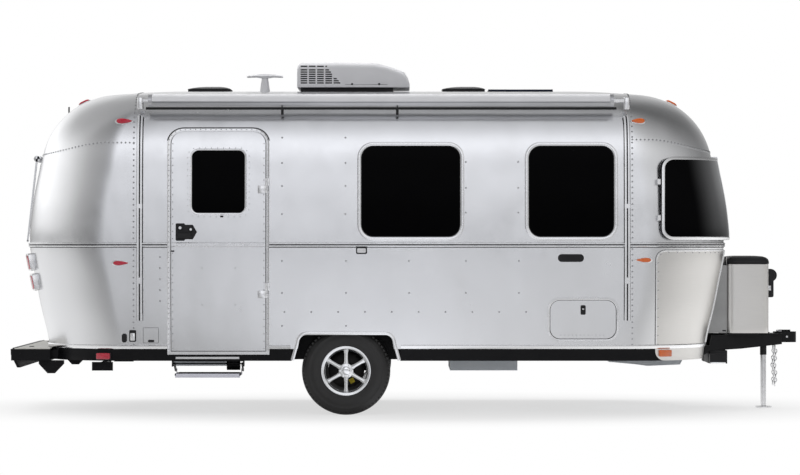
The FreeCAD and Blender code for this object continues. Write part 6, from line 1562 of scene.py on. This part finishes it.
# ---------------------------------------------------------------- tongue, jack, chains and gas cover
# A black A-frame with a stamped coupler and a sliding latch. The power jack stands in the frame with a
# plated leg; two proof chains hang beside it. A stainless cover with a black lid holds two gas bottles.
zinc = weathered("zinc_plate", (0.50, 0.50, 0.51), (0.78, 0.78, 0.79), 0.20, metallic=1.0, fine=200.0, depth=0.0002,
                 wear=30.0)
bottle_paint = weathered("bottle_paint", (0.78, 0.78, 0.77), (0.90, 0.90, 0.89), 0.28, fine=120.0, depth=0.0002)
dress(zinc, "jack_leg")
dress(bottle_paint, "gas_bottles")
dress(frame_paint, "coupler")
JACK_X, DECK_TOP, JACK_BORE_TOP = 3.038, 0.641, 1.168
parts = [slab((3.150, -0.0115, 0.6540), (3.262, 0.0115, 0.6705), 0.004),
         slab((3.168, -0.020, 0.6535), (3.196, 0.020, 0.6640), 0.003)]
parts += [rod((x, side * 0.0515, 0.612), (x, side * 0.0575, 0.612), 0.0095, 6) for x in (3.155, 3.235)
          for side in (-1, 1)]
add("coupler_latch_bolts", merge(*parts), zinc, 35, "trailer", "zinc")
places = [(x, side) for side in (-1, 1) for x in (2.72, 2.79, 2.945)]
spots = [(x, side * (0.040 + (3.190 - x) * math.tan(math.radians(25))), 0.6335) for x, side in places]
turns = [(0, 0, x * 3.1) for x, side in places]          # each nut stands at a turn of its own
copies("tongue_bolts", rod((0, 0, 0), (0, 0, 0.006), 0.009, 6), spots, turns, zinc, "trailer", "zinc")

head = slab((JACK_X - 0.0395, -0.050, 0.950), (JACK_X + 0.085, 0.050, 1.180), 0.014, 3)
motor = rod((JACK_X + 0.058, -0.043, 1.1395), (JACK_X + 0.058, 0.043, 1.1395), 0.0555, 40, 0.008)
crown_cap = slab((JACK_X - 0.036, -0.040, 1.170), (JACK_X + 0.050, 0.040, 1.1955), 0.010, 3)
sleeve = rod((JACK_X, 0, 0.4555), (JACK_X, 0, 0.958), 0.0282, 32)
flange = rod((JACK_X, 0, DECK_TOP + 0.0006), (JACK_X, 0, DECK_TOP + 0.0096), 0.054, 36, 0.001)
bore = rod((JACK_X, 0, 0.4), (JACK_X, 0, JACK_BORE_TOP), 0.0245, 32)
case = bmesh.new()
for solid in (sleeve, head, flange):                     # the leg climbs inside all three
    bored = cut(solid, ("DIFFERENCE", bore.copy()))
    case.from_mesh(bored.data)
    bpy.data.objects.remove(bored)
add("jack_case", merge(case, motor, crown_cap), black_moulding_and_shade, 35, "trailer", "black_plastic", "tongue_jack")
parts = [slab((JACK_X + 0.030, -0.0515, 1.010), (JACK_X + 0.060, -0.0498, 1.050), 0.0005)]
parts += [rod((x, -0.0520, 1.030), (x, -0.0500, 1.030), 0.0055, 14) for x in (JACK_X + 0.038, JACK_X + 0.052)]
for turn in (0.5, 0.5 + 2 * math.pi / 3, 0.5 + 4 * math.pi / 3):
    x, y = JACK_X + 0.040 * math.cos(turn), 0.040 * math.sin(turn)
    parts.append(rod((x, y, 0.650), (x, y, 0.6555), 0.0075, 6))
add("jack_fixings", merge(*parts), zinc, 35, "trailer", "zinc")

WIRE, LINK, LINK_STRETCH, LINK_PITCH, LINKS = 0.0047, 0.013, 1.35, 0.031, 11
rings = []
for turn in np.linspace(0, 2 * math.pi, 17)[:-1]:
    wire = [(LINK + WIRE * math.cos(round_wire), WIRE * math.sin(round_wire))
            for round_wire in np.linspace(0, 2 * math.pi, 7)[:-1]]
    rings.append([(radius * math.cos(turn), y, LINK_STRETCH * radius * math.sin(turn)) for radius, y in wire])
CHAIN_X, CHAIN_Y, CHAIN_TOP = JACK_X + 0.092, 0.062, 0.5177
spots = [(CHAIN_X + 0.005 * math.sin(number), side * CHAIN_Y, CHAIN_TOP - LINK_PITCH * number)
         for side in (-1, 1) for number in range(LINKS)]
turns = [(0, 0, 0.0 if number % 2 else math.pi / 2) for number in range(LINKS)] * 2
copies("chain_links", loft(rings, closed=True), spots, turns, zinc, "trailer", "zinc", "safety_chains", smooth=60)
shackles = [rod((CHAIN_X, side * CHAIN_Y, CHAIN_TOP + 0.004), (CHAIN_X, side * CHAIN_Y, CHAIN_TOP + 0.024), 0.0058, 14)
            for side in (-1, 1)]
add("chain_shackles", merge(*shackles), zinc, 35, "trailer", "zinc")


def cover_ring(inward, z, rear, notch, wide, tight=0.0, ease=1.0):
    """A round-cornered loop of points inside the gas cover's outline, with a notch in its front side."""
    front, half, radius = COVER_FRONT - inward - tight, COVER_HALF - inward - tight, COVER_CORNER - inward * ease
    loop = rounded(rear, front, -half, half, max(radius, 0.012), 6)
    first, *rest = [i for i, (x, y) in enumerate(loop) if x > front - 1e-6]
    loop = loop[:first + 1] + [(front, -wide), (notch, -wide), (notch, wide), (front, wide)] + loop[rest[-1]:]
    return [(x, y, z) for x, y in loop]


COVER_REAR, COVER_FRONT, COVER_HALF, COVER_CORNER, NOTCH, NOTCH_HALF = 2.694, 3.047, 0.332, 0.055, 2.984, 0.066
wall = ((0.0005, 0.6512), (0.0, 0.6540), (0.0, 0.700), (0.0, 1.236), (0.004, 1.2375), (0.006, 1.2375), (0.004, 1.230),
        (0.004, 0.660))
wall = [cover_ring(inward, z, COVER_REAR + inward, NOTCH - inward, NOTCH_HALF + inward, ease=0.9)
        for inward, z in wall]
hinge = slab((2.6885, -0.270, 1.180), (2.6928, 0.270, 1.2985), 0.001)
add("gas_cover_shell", merge(loft(wall, closed=True), hinge), stainless_sheet, 35, "trailer", "stainless", "gas_cover")
# behind it a narrower locker closes the space up to the body's front; its steel is made dark as painted shade
LOCKER_HALF, LOCKER_FOOT, LOCKER_TOP = 0.286, 0.6525, 1.228
shaded_locker_steel = weathered("shaded_locker_steel", (0.24, 0.24, 0.24), (0.42, 0.42, 0.415), 0.28, metallic=0.9, fine=160.0,
                         wear=3.0)
against = land(np.array([(3.6, 0.0, z) for z in np.linspace(LOCKER_FOOT, LOCKER_TOP, 8)]), 0)
flank = [(x + 0.003, z) for x, y, z in against]
flank += [(COVER_REAR - 0.0016, LOCKER_TOP), (COVER_REAR - 0.0016, LOCKER_FOOT)]
add("gas_locker_back", prism(flank, -LOCKER_HALF, LOCKER_HALF), shaded_locker_steel, 35, "trailer", "stainless")
cap_rear = against[-1][0] + 0.004
parts = [slab((cap_rear, -LOCKER_HALF - 0.004, LOCKER_TOP),
              (COVER_REAR - 0.0060, LOCKER_HALF + 0.004, LOCKER_TOP + 0.016), 0.002)]
for y in (-LOCKER_HALF - 0.001, LOCKER_HALF + 0.001):
    parts.append(slab((cap_rear + 0.010, y - 0.0022, 0.664), (COVER_REAR - 0.010, y + 0.0022, 0.676), 0.001))
add("gas_locker_cap", merge(*parts), black_moulding_and_shade, 40, "trailer", "black_plastic")
outer = [cover_ring(inward, z, COVER_REAR + max(inward, 0.0003), NOTCH - 0.0042 - max(inward, 0) * 0.2,
                    NOTCH_HALF + 0.0042)
         for inward, z in ((-0.0045, 1.2386), (-0.0048, 1.246), (-0.0035, 1.262), (0.004, 1.280), (0.022, 1.294),
                           (0.052, 1.3035), (0.10, 1.3078))]
inner = [cover_ring(inward, z, COVER_REAR + 0.004 + max(inward, 0), NOTCH - 0.0082 - max(inward, 0) * 0.2,
                    NOTCH_HALF + 0.0082,
                    0.0005) for inward, z in ((0.056, 1.2995), (0.012, 1.280), (0.0, 1.262), (-0.0005, 1.2386))]
knobs = [rod((2.86, side * 0.20, 1.3040), (2.86, side * 0.20, 1.3078), 0.012, 16, 0.001) for side in (-1, 1)]
add("gas_lid_cap", merge(loft(inner + outer), *knobs), black_moulding_and_shade, 40, "gas_lid", "black_plastic", "gas_cover_lid")

# ---------------------------------------------------------------- rear bumper with its trough
# A folded black bumper shut off by two side plates, hollow as a storage trough under a pale textured
# lid, with six-sided skid plates below.
dress(skirt_paint, "rear_bumper")
lid_paint, start = new_finish("trough_lid_paint")
weave = start.node("ShaderNodeTexVoronoi", {"feature": "F1"}, {"Vector": start.place(), "Scale": 120.0})
soil = start.noise(7.0, 5.0)
tone = start.blend(soil, (0.50, 0.49, 0.46), (0.74, 0.73, 0.69))
coat(start, start.paint(tone, soil * 0.25 + 0.35, weave, 0.0015, Metallic=0.4))
dress(lid_paint, "bumper_lid")
BUMPER_TIP, LID_TOP, BUMPER_HALF = -3.320, 0.5465, 0.950
spots = [(BUMPER_TIP + 0.020, y, LID_TOP) for y in np.linspace(-0.86, 0.86, 14)]
screw = rod((0, 0, -0.001), (0, 0, 0.0024), 0.0065, 10)
copies("bumper_hinge_screws", screw, spots, [(0, 0, 0)] * len(spots), zinc, "trailer", "zinc")
edges = [slab((BUMPER_TIP + 0.0345, -BUMPER_HALF + 0.004, LID_TOP),
              (BUMPER_TIP + 0.044, BUMPER_HALF - 0.004, LID_TOP + 0.003), 0.001)]
edges += [slab((BUMPER_TIP + 0.115, y - 0.030, LID_TOP), (BUMPER_TIP + 0.150, y + 0.030, LID_TOP + 0.004), 0.001)
          for y in (-0.62, 0.62)]
add("trough_lid_edge", merge(*edges), black_moulding_and_shade, 35, "trough_lid", "black_plastic")
places = [(x, y, z, side) for side in (-1, 1) for x, y, z in (
    (-3.245, 0.950, 0.500), (-3.120, 0.950, 0.500), (-3.040, 0.9003, 0.390), (-2.945, 0.9003, 0.390))]
copies("bumper_bolts", rod((0, 0, -0.001), (0, 0, 0.0055), 0.0085, 6), [(x, side * y, z) for x, y, z, side in places],
       [(side * -math.pi / 2, 0, 0) for x, y, z, side in places], frame_paint, "trailer", "black_steel")

dress(trim_metal, "guard_brackets")
